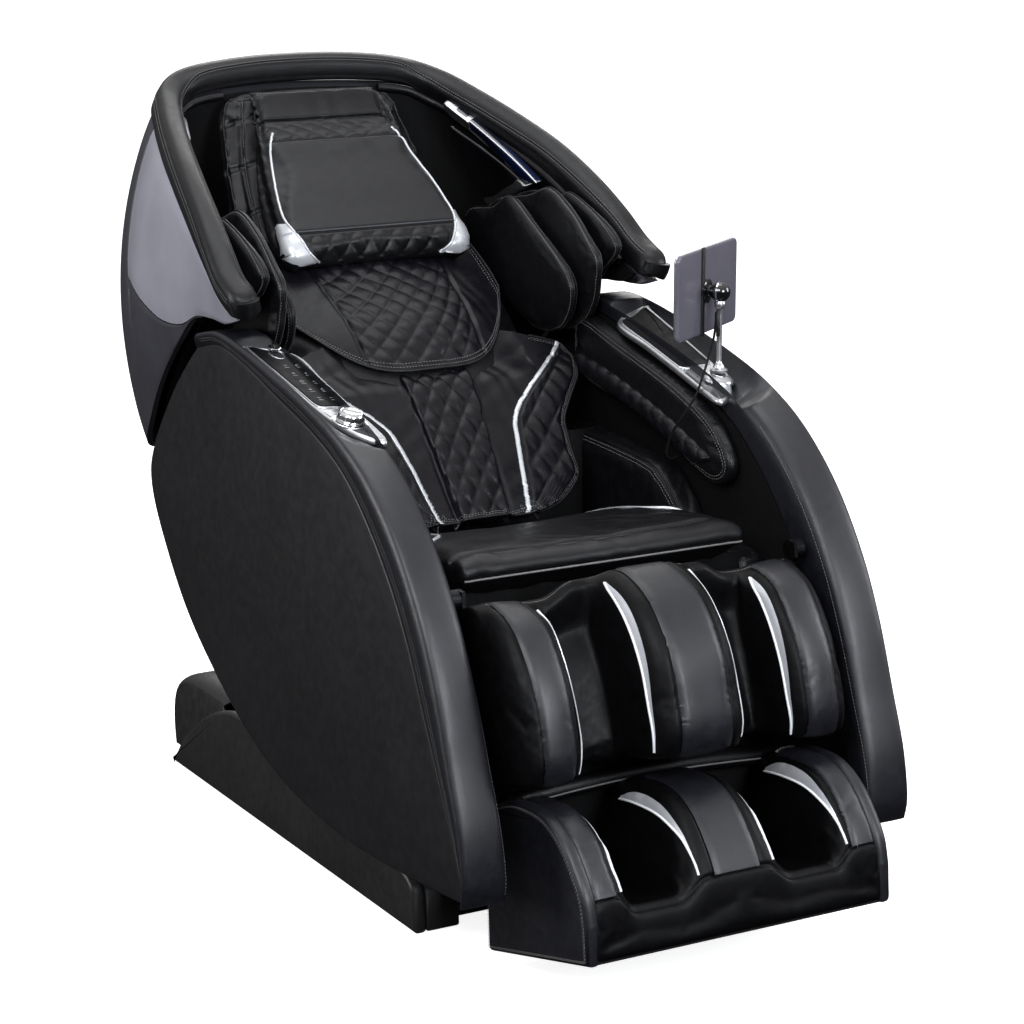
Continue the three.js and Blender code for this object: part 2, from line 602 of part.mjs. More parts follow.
function calf() {
  const sections = CALF.map(({ crest, outer, back }) => {
    const at = (x, target, share) => vec(x, back[0] + (target[0] - back[0]) * share, back[1] + (target[1] - back[1]) * share);
    const half = [[LEG_HALF, outer, 0], [LEG_HALF, outer, 0.86], [LEG_HALF - 14, outer, 1], [212, outer, 0.98],
      [188, outer, CALF_FLOOR + 0.2], [170, crest, CALF_FLOOR], [112, crest, CALF_FLOOR], [90, crest, CALF_FLOOR + 0.2],
      [70, crest, 0.97], [34, crest, 1]];
    const right = half.map(([x, target, share]) => at(x, target, share));
    const left = half.map(([x, target, share]) => at(-x, target, share)).reverse();
    return [...right, ...left];
  });
  add('calf_cushion', loft(sections), 'leather');
  add('leg_frame', box(-200, 200, -527, -517, 340, 500), 'steel');
}

// The footrest: a tray with slanted underside, and a cushion with two foot wells in it.
const FOOT_SIDE = [[-640, 286], [-700, 296], [-762, 294], [-832, 258], [-884, 184], [-887, 100], [-600, 23],
  [-585, 110], [-600, 240]];
const FOOT = [
  { y: -622, top: 268, ridge: 262, base: 104, floor: 124 },
  { y: -700, top: 288, ridge: 288, base: 104, floor: 122 },
  { y: -766, top: 292, ridge: 286, base: 104, floor: 124 },
  { y: -820, top: 262, ridge: 262, base: 112, floor: 138 },
  { y: -868, top: 204, ridge: 232, base: 118, floor: 156 },
];

function foot() {
  const tray = cut(plate(FOOT_SIDE, -FOOT_HALF, FOOT_HALF, 4),
    plate([[-560, 330], [-900, 330], [-876, 192], [-876, 112], [-609, 40], [-560, 40]], -258, 258));
  add('footrest_tray', tray, 'leather');
  const sections = FOOT.map(({ y, top, ridge, base: low, floor }) => {
    const half = [[257, low], [257, top - 22], [246, top - 4], [222, top - 4], [204, (top + floor) / 2], [180, floor],
      [104, floor], [84, (ridge + floor) / 2], [62, ridge - 8], [30, ridge]];
    const one = half.map(([x, z]) => vec(x, y, z));
    const other = half.map(([x, z]) => vec(-x, y, z)).reverse();
    return [...one, ...other];
  });
  add('foot_cushion', loft(sections), 'leather');
  add('foot_roller', rod(vec(-240, -690, 84), vec(240, -690, 84), 16, 16), 'rubber');
}

base();
arms();
seat();
lumbarFlap();
consoles();
stand();
tablet();
cable();
hood();
backPads();
pillow();
shoulders();
works();
calf();
foot();

export default chair;
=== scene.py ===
import json
import math

import bmesh
import bpy
import numpy as np
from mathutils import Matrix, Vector
from mathutils.bvhtree import BVHTree
from mathutils.kdtree import KDTree

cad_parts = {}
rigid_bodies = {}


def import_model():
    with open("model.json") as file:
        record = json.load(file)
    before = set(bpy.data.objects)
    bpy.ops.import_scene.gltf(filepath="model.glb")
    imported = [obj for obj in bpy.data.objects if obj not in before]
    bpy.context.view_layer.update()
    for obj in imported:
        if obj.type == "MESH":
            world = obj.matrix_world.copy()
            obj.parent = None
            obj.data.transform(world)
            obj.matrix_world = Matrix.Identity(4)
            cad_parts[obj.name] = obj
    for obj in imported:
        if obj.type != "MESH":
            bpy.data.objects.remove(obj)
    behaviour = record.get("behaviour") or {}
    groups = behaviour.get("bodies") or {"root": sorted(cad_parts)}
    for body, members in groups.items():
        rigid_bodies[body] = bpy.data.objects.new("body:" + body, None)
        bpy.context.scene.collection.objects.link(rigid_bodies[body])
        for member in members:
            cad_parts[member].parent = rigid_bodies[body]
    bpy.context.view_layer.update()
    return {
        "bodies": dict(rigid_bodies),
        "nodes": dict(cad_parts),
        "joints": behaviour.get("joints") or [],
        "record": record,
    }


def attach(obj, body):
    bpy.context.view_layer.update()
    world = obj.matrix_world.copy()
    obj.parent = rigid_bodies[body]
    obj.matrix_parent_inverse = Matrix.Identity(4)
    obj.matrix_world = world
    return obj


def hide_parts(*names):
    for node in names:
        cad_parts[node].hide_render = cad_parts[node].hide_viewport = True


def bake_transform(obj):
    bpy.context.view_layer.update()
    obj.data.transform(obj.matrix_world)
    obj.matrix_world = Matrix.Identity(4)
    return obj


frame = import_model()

NODES = frame["nodes"]
MM = 0.001

# ---------------------------------------------------------------- driving sizes, in millimetres
ARM_OUT, ARM_IN = 390, 323
SEAT_HALF = 262
FOOT_HALF = 270
SKIRT_OUT, SKIRT_THICK = 315, 22
STAND = (345, -277, 803)
BALL_Z = 947


# ---------------------------------------------------------------- curves and meshes
def mm(points):
    return np.array(points, float) * MM


def unit(vectors):
    return vectors / np.maximum(np.linalg.norm(vectors, axis=-1, keepdims=True), 1e-12)


class Curve:
    """A smooth curve through points, read at shares 0..1 of its way."""

    def __init__(self, points, centripetal=False):
        p = np.array(points, float)
        first = 2 * p[0] - p[1] if centripetal else p[0]
        last = 2 * p[-1] - p[-2] if centripetal else p[-1]
        q = np.vstack([first, p, last])
        a, b, c, d = q[:-3], q[1:-2], q[2:-1], q[3:]
        m, n = (c - a) / 2, (d - b) / 2
        if centripetal:
            e, f, g = (np.maximum(np.linalg.norm(w - v, axis=1, keepdims=True), 1e-9) ** 0.5
                       for v, w in ((a, b), (b, c), (c, d)))
            m = ((b - a) / e - (c - a) / (e + f) + (c - b) / f) * f
            n = ((c - b) / f - (d - b) / (f + g) + (d - c) / g) * f
        self.parts = b, c, m, n

    def __call__(self, t):
        b, c, m, n = self.parts
        s = np.clip(np.asarray(t, float), 0, 1) * len(b)
        i = np.minimum(s.astype(int), len(b) - 1)
        u = (s - i)[..., None]
        return ((2 * u**3 - 3 * u**2 + 1) * b[i] + (u**3 - 2 * u**2 + u) * m[i]
                + (3 * u**2 - 2 * u**3) * c[i] + (u**3 - u**2) * n[i])


def smooth(points, count, closed=False):
    """Points along a smooth curve; a closed one goes round once and leaves out the repeat."""
    p = np.array(points, float)
    if not closed:
        return Curve(p)(np.linspace(0, 1, count))
    ring = Curve(np.vstack([p[-1], p, p[0], p[1]]))
    spans = len(p) + 2
    return ring(np.linspace(1 / spans, (spans - 1) / spans, count, endpoint=False))


def even(path, step):
    """The same path with points a fixed step apart."""
    length = np.r_[0, np.cumsum(np.linalg.norm(np.diff(path, axis=0), axis=1))]
    count = max(2, int(round(length[-1] / step)) + 1)
    at = np.linspace(0, length[-1], count)
    return np.stack([np.interp(at, length, path[:, k]) for k in range(3)], 1)


def in_plane(outline, x):
    """A Y-Z outline as points at one X."""
    return np.insert(np.array(outline, float), 0, x, axis=1)


def lattice(rows, cols, wrap=False):
    faces = []
    for r in range(rows - 1):
        for c in range(cols if wrap else cols - 1):
            d = (c + 1) % cols
            faces.append((r * cols + c, r * cols + d, (r + 1) * cols + d, (r + 1) * cols + c))
    return faces


def piece(name, points, faces, look, body, slot, stands_for=(), smooth_angle=40):
    mesh = bpy.data.meshes.new(name)
    mesh.from_pydata(np.asarray(points, float).reshape(-1, 3).tolist(), [], faces)
    mesh.update()
    mesh.shade_smooth()
    if smooth_angle < 180:
        mesh.set_sharp_from_angle(angle=math.radians(smooth_angle))
    obj = bpy.data.objects.new(name, mesh)
    bpy.context.scene.collection.objects.link(obj)
    mesh.materials.append(look)
    if body:
        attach(obj, body)
    if stands_for:
        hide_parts(*stands_for)
    return obj


def outward(faces, points):
    """The faces of a closed body, turned over if they face inwards."""
    p = np.asarray(points, float).reshape(-1, 3)
    volume = 0
    for face in faces:
        for k in range(1, len(face) - 1):
            volume += np.dot(p[face[0]], np.cross(p[face[k]], p[face[k + 1]]))
    return faces if volume > 0 else [tuple(reversed(face)) for face in faces]


def loft(name, rings, look, body, slot, stands_for=(), smooth_angle=40):
    """A closed body through rings of points."""
    rings = np.asarray(rings, float)
    rows, cols = rings.shape[:2]
    faces = lattice(rows, cols, wrap=True)
    faces.append(tuple(range(cols))[::-1])
    faces.append(tuple((rows - 1) * cols + c for c in range(cols)))
    faces = outward(faces, rings)
    return piece(name, rings, faces, look, body, slot, stands_for, smooth_angle)


def inset(outline, amount):
    """A closed outline moved inwards by an amount."""
    p = np.asarray(outline, float)
    along = unit(np.roll(p, -1, 0) - np.roll(p, 1, 0))
    area = np.sum(p[:, 0] * np.roll(p[:, 1], -1) - p[:, 1] * np.roll(p[:, 0], -1))
    turn = 1 if area > 0 else -1
    return p + turn * amount * np.stack([-along[:, 1], along[:, 0]], 1)


def plate(name, outline, x0, x1, edge, look, body, slot, stands_for=(), steps=4):
    """An outline in the Y-Z plane with thickness along X and rounded edges."""
    angles = np.linspace(0, math.pi / 2, steps + 1)
    near = [in_plane(inset(outline, edge * (1 - math.sin(a))), x0 + edge * (1 - math.cos(a))) for a in angles]
    far = [in_plane(inset(outline, edge * (1 - math.sin(a))), x1 - edge * (1 - math.cos(a))) for a in angles]
    return loft(name, near + far[::-1], look, body, slot, stands_for, 60)


def slab(points, thick):
    """A closed body from a grid of points: its front, and its back a thickness behind it."""
    rows, cols = points.shape[:2]
    normal = grid_normals(points)
    deep = thick[..., None] if isinstance(thick, np.ndarray) else thick
    back = points - normal * deep
    count = rows * cols
    faces = lattice(rows, cols)
    faces += [tuple(reversed([i + count for i in face])) for face in lattice(rows, cols)]
    rim = [c for c in range(cols)] + [r * cols + cols - 1 for r in range(1, rows)]
    rim += [(rows - 1) * cols + c for c in range(cols - 2, -1, -1)] + [r * cols for r in range(rows - 2, 0,
                                                                                               -1)]
    for a, b in zip(rim, rim[1:] + rim[:1]):
        faces.append((a, a + count, b + count, b))
    both = np.vstack([points.reshape(-1, 3), back.reshape(-1, 3)])
    return both, outward(faces, both)


def grid_normals(points):
    return unit(np.cross(np.gradient(points, axis=1), np.gradient(points, axis=0)))


def tube(name, path, radius, look, body, slot, sides=10, stands_for=()):
    """A round bar along a path; radius is one number or one for each point."""
    path = np.asarray(path, float)
    along = unit(np.gradient(path, axis=0))
    rings = []
    aside = unit(np.cross(along[0], (0.31, 0.2, 0.93)))
    for k, (point, way) in enumerate(zip(path, along)):
        aside = unit(aside - way * np.dot(aside, way))
        third = np.cross(way, aside)
        r = radius[k] if np.ndim(radius) else radius
        turn = np.linspace(0, 2 * math.pi, sides, endpoint=False)[:, None]
        rings.append(point + r * (np.cos(turn) * aside + np.sin(turn) * third))
    return loft(name, rings, look, body, slot, stands_for, 60)


def lathe(name, profile, centre, axis, look, body, slot, stands_for=(), facets=48, smooth_angle=35):
    """A turned body: (radius, height) pairs round an axis."""
    axis = unit(np.array(axis, float))
    aside = unit(np.cross(axis, (0.9, 0.1, 0.2)))
    third = np.cross(axis, aside)
    turn = np.linspace(0, 2 * math.pi, facets, endpoint=False)[:, None]
    rings = [np.array(centre) + axis * h + r * (np.cos(turn) * aside + np.sin(turn) * third) for r,
             h in profile]
    return loft(name, rings, look, body, slot, stands_for, smooth_angle)


def soften(path, rounds=6):
    """A path with its corners rounded off."""
    path = np.array(path, float)
    for _ in range(rounds):
        path[1:-1] = (path[:-2] + 2 * path[1:-1] + path[2:]) / 4
    return path


def mirror(points):
    return np.asarray(points, float) * (-1, 1, 1)


# ---------------------------------------------------------------- materials
def new_look(name):
    look = bpy.data.materials.new(name)
    look.use_nodes = True
    return look, look.node_tree.nodes, look.node_tree.links, look.node_tree.nodes["Principled BSDF"]


def texture(nodes, links, kind, scale, detail=2.0):
    place = nodes.new("ShaderNodeTexCoord")
    node = nodes.new(kind)
    node.inputs["Scale"].default_value = scale
    if "Detail" in node.inputs:
        node.inputs["Detail"].default_value = detail
    links.new(place.outputs["Object"], node.inputs["Vector"])
    return node


def relief(nodes, links, shader, layers):
    """Bumps on bumps: (texture kind, scale, height in metres) for each."""
    before = None
    for kind, scale, height in layers:
        node = texture(nodes, links, kind, scale, 3.0)
        bump = nodes.new("ShaderNodeBump")
        bump.inputs["Strength"].default_value = 1.0
        bump.inputs["Distance"].default_value = height
        source = node.outputs["Distance"] if kind == "ShaderNodeTexVoronoi" else node.outputs[0]
        links.new(source, bump.inputs["Height"])
        if before:
            links.new(before.outputs["Normal"], bump.inputs["Normal"])
        before = bump
    links.new(before.outputs["Normal"], shader.inputs["Normal"])


def varied(nodes, links, shader, socket, scale, low, high):
    """A socket that wanders between two values or colours."""
    noise = texture(nodes, links, "ShaderNodeTexNoise", scale, 4.0)
    ramp = nodes.new("ShaderNodeValToRGB")
    ramp.color_ramp.elements[0].position = 0.35
    ramp.color_ramp.elements[1].position = 0.68
    for element, value in zip(ramp.color_ramp.elements, (low, high)):
        element.color = (*value, 1) if np.ndim(value) else (value, value, value, 1)
    links.new(noise.outputs[0], ramp.inputs["Fac"])
    links.new(ramp.outputs["Color"], shader.inputs[socket])


VORONOI, NOISE, WAVE = "ShaderNodeTexVoronoi", "ShaderNodeTexNoise", "ShaderNodeTexWave"


def leather(name, dark, light, rough=(0.30, 0.40), grain=0.00012, creases=0.0006, sheen=0.0):
    look, nodes, links, shader = new_look(name)
    varied(nodes, links, shader, "Base Color", 55, dark, light)
    varied(nodes, links, shader, "Roughness", 90, *rough)
    relief(nodes, links, shader, [(NOISE, 14, creases), (VORONOI, 900, grain), (NOISE, 2600, grain * 0.5)])
    shader.inputs["Specular IOR Level"].default_value = 0.5
    shader.inputs["Coat Weight"].default_value = 0.10
    shader.inputs["Coat Roughness"].default_value = 0.28
    shader.inputs["Sheen Weight"].default_value = sheen
    return look


def moulding(name, dark, light, rough, coat=0.0, texture_height=0.00006, texture_scale=1500, flake=0.0):
    look, nodes, links, shader = new_look(name)
    varied(nodes, links, shader, "Base Color", 9, dark, light)
    varied(nodes, links, shader, "Roughness", 60, *rough)
    relief(nodes, links, shader, [(NOISE, texture_scale, texture_height)])
    shader.inputs["Coat Weight"].default_value = coat
    shader.inputs["Coat Roughness"].default_value = 0.06
    shader.inputs["Metallic"].default_value = flake
    return look


def metal(name, dark, light, rough, height=0.00002, scale=600):
    look, nodes, links, shader = new_look(name)
    varied(nodes, links, shader, "Base Color", 120, dark, light)
    varied(nodes, links, shader, "Roughness", 200, *rough)
    relief(nodes, links, shader, [(NOISE, scale, height)])
    shader.inputs["Metallic"].default_value = 1.0
    return look


def cloth_look(name, dark, light, rough, weave=0.0002, sheen=0.2):
    look, nodes, links, shader = new_look(name)
    varied(nodes, links, shader, "Base Color", 300, dark, light)
    varied(nodes, links, shader, "Roughness", 150, *rough)
    relief(nodes, links, shader, [(WAVE, 260, weave), (NOISE, 1800, weave * 0.5)])
    shader.inputs["Sheen Weight"].default_value = sheen
    return look


LEATHER = leather("black_leather", (0.0030, 0.0030, 0.0038), (0.0055, 0.0055, 0.0070))
BAND = leather("band_leather", (0.0060, 0.0062, 0.0088), (0.0095, 0.0097, 0.0135), (0.33, 0.42))
QUILT = leather("quilted_leather", (0.0034, 0.0033, 0.0048), (0.0065, 0.0063, 0.0090), (0.27, 0.36), 0.00009)
LINING = cloth_look("black_lining", (0.0012, 0.0012, 0.0014), (0.0024, 0.0024, 0.0028), (0.65, 0.8), 0.0001,
                    0.0)
TROUGH = leather("trough_cloth", (0.0012, 0.0012, 0.0015), (0.0024, 0.0024, 0.0029), (0.40, 0.5), 0.00008)
PANEL = moulding("arm_moulding", (0.0058, 0.0057, 0.0066), (0.0080, 0.0078, 0.0090), (0.36, 0.42))
SHELL = moulding("skirt_moulding", (0.0100, 0.0098, 0.0100), (0.0135, 0.0132, 0.0135), (0.40, 0.48))
HULL = moulding("hull_moulding", (0.034, 0.034, 0.041), (0.044, 0.044, 0.052), (0.30, 0.36))
# Hood side panels: the light grey-blue base colour is painted reflection of the pale surroundings, laid under
# a clear coat.
GLOSS_PAINTED_REFLECTION = moulding("gloss_moulding_painted_reflection", (0.30, 0.295, 0.345), (0.35, 0.345, 0.40), (0.14, 0.18), 1.0, 0.000004,
                 300)
PLASTIC = moulding("grained_plastic", (0.0048, 0.0048, 0.0054), (0.0075, 0.0075, 0.0085), (0.42, 0.55), 0,
                   0.0001)
GLASS = moulding("black_glass", (0.003, 0.003, 0.004), (0.005, 0.005, 0.006), (0.05, 0.08), 1.0, 0.000002,
                 200)
NIGHT = moulding("night_glass", (0.002, 0.003, 0.012), (0.004, 0.009, 0.04), (0.05, 0.1), 1.0, 0.000002, 200)
RUBBER = moulding("matt_rubber", (0.006, 0.006, 0.0065), (0.009, 0.009, 0.010), (0.6, 0.75), 0, 0.00012, 2500)
SATIN = metal("satin_silver", (0.56, 0.57, 0.59), (0.64, 0.65, 0.67), (0.30, 0.38), 0.000004)
CHROME = metal("bright_chrome", (0.83, 0.84, 0.86), (0.9, 0.9, 0.92), (0.03, 0.06), 0.000002)
STEEL = metal("coated_steel", (0.020, 0.020, 0.022), (0.028, 0.028, 0.031), (0.4, 0.5), 0.00006, 1500)
SILVER = leather("silver_leather", (0.62, 0.63, 0.66), (0.68, 0.69, 0.72), (0.30, 0.36), 0.00001, 0.0002)
SILVER.node_tree.nodes["Principled BSDF"].inputs["Metallic"].default_value = 0.45
KEYS = moulding("keypad_glass_look", (0.003, 0.003, 0.004), (0.005, 0.005, 0.006), (0.4, 0.5), 0, 0.000002,
                200)
for look, shine in ((LEATHER, 0.30), (QUILT, 0.22), (TROUGH, 0.14), (LINING, 0.2), (KEYS, 0.10),
                    (RUBBER, 0.15)):
    shader = look.node_tree.nodes["Principled BSDF"]
    shader.inputs["Specular IOR Level"].default_value = shine
    shader.inputs["Coat Weight"].default_value = 0.04 if shine > 0.2 else 0.0
THREAD = cloth_look("grey_thread", (0.13, 0.127, 0.125), (0.20, 0.195, 0.19), (0.5, 0.6), 0.00005)
DARK_THREAD = cloth_look("dark_thread", (0.02, 0.02, 0.022), (0.035, 0.035, 0.038), (0.4, 0.5), 0.00005)
TABLET = moulding("violet_case", (0.105, 0.10, 0.125), (0.125, 0.12, 0.148), (0.32, 0.38), 0.2, 0.00001, 1800)
MARKS = moulding("pale_print", (0.35, 0.36, 0.38), (0.42, 0.43, 0.45), (0.4, 0.5))
GLOW = moulding("light_bar", (0.85, 0.86, 0.88), (0.92, 0.93, 0.95), (0.2, 0.3))


# ---------------------------------------------------------------- stitching, piping, seams
threads = {}
STITCH_STATIONS = ((-0.5, 0.0), (-0.3, 1.0), (0.3, 1.0), (0.5, 0.0))
STITCH_SIDES = 5


def stitch(group, path, normals, pitch=0.0056, length=0.0044, radius=0.0006, dark=False):
    """Threads laid end to end along a path, gathered by group until they are built."""
    path = np.asarray(path, float)
    normals = np.asarray(normals, float)
    run = np.r_[0, np.cumsum(np.linalg.norm(np.diff(path, axis=0), axis=1))]
    if run[-1] < pitch:
        return
    middle = np.arange(pitch / 2, run[-1], pitch)

    def read(values, at):
        return np.stack([np.interp(at, run, values[:, k]) for k in range(3)], 1)

    way = unit(read(path, middle + pitch * 0.4) - read(path, middle - pitch * 0.4))
    up = read(normals, middle)
    up = unit(up - way * np.sum(up * way, 1, keepdims=True))
    aside = np.cross(way, up)
    centre = read(path, middle)
    turn = np.linspace(0, 2 * math.pi, STITCH_SIDES, endpoint=False)
    rings = []
    for x, r in STITCH_STATIONS:
        for a in turn if r else (0,):
            lift = radius * (0.35 + 0.65 * r * math.sin(a)) if r else -radius * 0.4
            rings.append(centre + way * x * length + aside * radius * r * math.cos(a) + up * lift)
    points = np.stack(rings, 1)
    threads.setdefault((group, dark), []).append(points)


def stitch_faces(first):
    n = STITCH_SIDES
    faces = []
    for k in range(n):
        j = (k + 1) % n
        faces.append((first, first + 1 + j, first + 1 + k))
        faces.append((first + 1 + k, first + 1 + j, first + 1 + n + j, first + 1 + n + k))
        faces.append((first + 1 + n + k, first + 1 + n + j, first + 1 + 2 * n))
    return faces


def build_threads(blends):
    for (group, dark), rows in threads.items():
        points = np.vstack([r.reshape(-1, 3) for r in rows])
        each = 2 + 2 * STITCH_SIDES
        faces = [f for i in range(0, len(points), each) for f in stitch_faces(i)]
        name = group + ("_dark_stitching" if dark else "_stitching")
        body = None if group in blends else group
        obj = piece(name, points, faces, DARK_THREAD if dark else THREAD, body, "leather", (), 180)
        if group in blends:
            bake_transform(obj)


class Skin:
    """The surface of a finished mesh, to lay seams, piping and threads on."""

    def __init__(self, *objs):
        joined = bmesh.new()
        for obj in objs:
            joined.from_mesh(obj.data)
        self.tree = BVHTree.FromBMesh(joined)
        joined.free()

    def lay(self, points, ways, reach=0.05):
        """Each point dropped onto the surface against its own outward way, with the normal there."""
        spots, normals = [], []
        for p, w in zip(points, np.broadcast_to(ways, np.shape(points))):
            w = Vector(w)
            hit, normal, _, _ = self.tree.ray_cast(Vector(p) + w * reach, -w, 2 * reach)
            if hit is None:
                hit, normal, _, _ = self.tree.find_nearest(Vector(p))
            if normal.dot(w) < 0:
                normal = -normal
            spots.append(hit)
            normals.append(normal)
        return np.array(spots, float), np.array(normals, float)


def coords(obj):
    co = np.empty(len(obj.data.vertices) * 3, np.float32)
    obj.data.vertices.foreach_get("co", co)
    return co.reshape(-1, 3).astype(float)


def vertex_normals(obj):
    no = np.empty(len(obj.data.vertices) * 3, np.float32)
    obj.data.vertex_normals.foreach_get("vector", no)
    return no.reshape(-1, 3).astype(float)


def set_coords(obj, co):
    obj.data.vertices.foreach_set("co", np.asarray(co, np.float32).ravel())
    obj.data.update()


def groove(obj, path, width=0.0035, depth=0.003, ridge=False):
    """A sewn channel pressed into a mesh along a path, or with ridge a raised line."""
    fine = even(np.asarray(path, float), width * 0.4)
    tree = KDTree(len(fine))
    for i, p in enumerate(fine):
        tree.insert(p, i)
    tree.balance()
    co, no = coords(obj), vertex_normals(obj)
    reach = 2.5 * width
    near = np.zeros(len(co), bool)
    for run in np.array_split(fine, max(1, len(fine) // 25)):
        near |= np.all((co > run.min(0) - reach) & (co < run.max(0) + reach), 1)
    near = np.nonzero(near)[0]
    way = 1 if ridge else -1
    for i in near:
        d = tree.find(co[i])[2]
        co[i] += way * no[i] * depth * math.exp(-(d / width) ** 2)
    set_coords(obj, co)


class Chart:
    """A padded surface drawn as a grid: u runs across it and v along it, both 0..1."""

    def __init__(self, points):
        self.points = points
        self.normals = grid_normals(points)
        across = np.linalg.norm(np.diff(points, axis=1), axis=2)
        along = np.linalg.norm(np.diff(points, axis=0), axis=2)
        a = np.pad(np.cumsum(across, 1), ((0, 0), (1, 0)))
        self.a = a - a[:, [points.shape[1] // 2]]
        self.b = np.pad(np.cumsum(along, 0), ((1, 0), (0, 0)))
        self.tree = KDTree(points.shape[0] * points.shape[1])
        for i, p in enumerate(points.reshape(-1, 3)):
            self.tree.insert(p, i)
        self.tree.balance()

    def locate(self, places):
        """u, v, and the distances a across and b along in metres, of places near the surface."""
        rows, cols = self.points.shape[:2]
        index = np.array([self.tree.find(p)[1] for p in places])
        r, c = index // cols, index % cols
        off = places - self.points[r, c]
        eu = unit(np.gradient(self.points, axis=1)[r, c])
        ev = unit(np.gradient(self.points, axis=0)[r, c])
        a = self.a[r, c] + np.sum(off * eu, 1)
        b = self.b[r, c] + np.sum(off * ev, 1)
        side = np.sum(off * self.normals[r, c], 1)
        return c / (cols - 1), r / (rows - 1), a, b, side

    def trace(self, uv, count=120):
        """Points and normals along a smooth line given by a few (u, v) places."""
        places = Curve(np.array(uv, float), True)(np.linspace(0, 1, count))
        return self.read(places[:, 0], places[:, 1])

    def across(self, x, v):
        """The u at which the row at v reaches an X."""
        rows, cols = self.points.shape[:2]
        r = np.rint(np.clip(v, 0, 1) * (rows - 1)).astype(int)
        way = 1 if self.points[0, -1, 0] > self.points[0, 0, 0] else -1
        share = np.linspace(0, 1, cols)[::way]
        return np.array([np.interp(a, self.points[k, ::way, 0], share) for a, k in zip(x, r)])

    def line(self, skin, places, count=120, reach=0.03):
        """A smooth line through a few (X, v) places, dropped onto the finished surface."""
        p = Curve(np.array(places, float), True)(np.linspace(0, 1, count))
        points, normals = self.read(self.across(p[:, 0], p[:, 1]), p[:, 1])
        return skin.lay(points, normals, reach)

    def read(self, u, v):
        rows, cols = self.points.shape[:2]
        x = np.clip(u, 0, 1) * (cols - 1)
        y = np.clip(v, 0, 1) * (rows - 1)
        c = np.minimum(x.astype(int), cols - 2)
        r = np.minimum(y.astype(int), rows - 2)
        fx, fy = (x - c)[:, None], (y - r)[:, None]

        def mix(g):
            return ((g[r, c] * (1 - fx) + g[r, c + 1] * fx) * (1 - fy)
                    + (g[r + 1, c] * (1 - fx) + g[r + 1, c + 1] * fx) * fy)

        return mix(self.points), unit(mix(self.normals))


def quilt(obj, a, b, mask, pitch, depth):
    """Diamond quilting: the leather stays down along two families of crossing lines."""
    p, q = a / pitch[0], b / pitch[1]
    puff = np.abs(np.sin(math.pi * (p + q)) * np.sin(math.pi * (p - q))) ** 0.42
    set_coords(obj, coords(obj) + vertex_normals(obj) * (mask * depth * (puff - 0.75))[:, None])


def overlay(name, skin, a, b, rise, look, body, slot, steps=10, thick=0.003):
    """A thin panel laid on a surface between two lines, each (points, normals)."""
    share = np.linspace(0, 1, steps)[:, None, None]
    points = a[0] * (1 - share) + b[0] * share
    ways = unit(a[1] * (1 - share) + b[1] * share)
    spots, normals = skin.lay(points.reshape(-1, 3), ways.reshape(-1, 3), 0.03)
    grid = (spots + normals * rise).reshape(points.shape)
    if np.mean(np.sum(grid_normals(grid) * normals.reshape(points.shape), 2)) < 0:
        grid = grid[::-1]
    return piece(name, *slab(grid, thick), look, body, slot, (), 60)


def ribbon(name, path, normals, width, height, look, body, slot):
    """A flat strip with rounded edges along a path on a surface."""
    way = unit(np.gradient(path, axis=0))
    aside = unit(np.cross(way, normals))
    section = [(-1, -0.6), (-0.96, 0.5), (-0.75, 0.9), (0, 1), (0.75, 0.9), (0.96, 0.5), (1, -0.6)]
    wide = np.broadcast_to(width, len(path))[:, None] / 2
    rings = np.stack([path + aside * wide * x + normals * height * z for x, z in section], 1)
    return loft(name, rings, look, body, slot, (), 60)


def seam(obj, path, normals, group, rows=(-0.0035, 0.0035), depth=0.0025, width=0.003, **how):
    """A sewn seam: a channel, with a row of threads at each given distance to its side."""
    if depth:
        groove(obj, path, width, depth)
    aside = unit(np.cross(unit(np.gradient(path, axis=0)), normals))
    skin = Skin(obj)
    for off in rows:
        spots, ways = skin.lay(path + aside * off, normals, 0.02)
        stitch(group, spots, ways, **how)


# ---------------------------------------------------------------- padding by cloth simulation
FRAMES = 20
soft = []


def bake_modifiers(obj):
    deps = bpy.context.evaluated_depsgraph_get()
    mesh = bpy.data.meshes.new_from_object(obj.evaluated_get(deps))
    old = obj.data
    obj.modifiers.clear()
    obj.data = mesh
    mesh.name = old.name
    bpy.data.meshes.remove(old)
    mesh.shade_smooth()


def stuff(obj, voxel=0.006, rounds=6, pressure=4.0, cap=0.009, pinned=None):
    """Prepares a closed body for stuffing: an even mesh with soft edges, pinned where pinned(points) says."""
    remesh = obj.modifiers.new("even", "REMESH")
    remesh.mode = "VOXEL"
    remesh.voxel_size = voxel
    relax = obj.modifiers.new("relax", "SMOOTH")
    relax.factor = 0.5
    relax.iterations = rounds
    bake_modifiers(obj)
    held = None
    if pinned is not None:
        held = np.asarray(pinned(coords(obj)), float)
        group = obj.vertex_groups.new(name="held")
        for i in np.nonzero(held > 0)[0]:
            group.add([int(i)], float(held[i]), "REPLACE")
    soft.append((obj, pressure, cap, held is not None))
    return obj


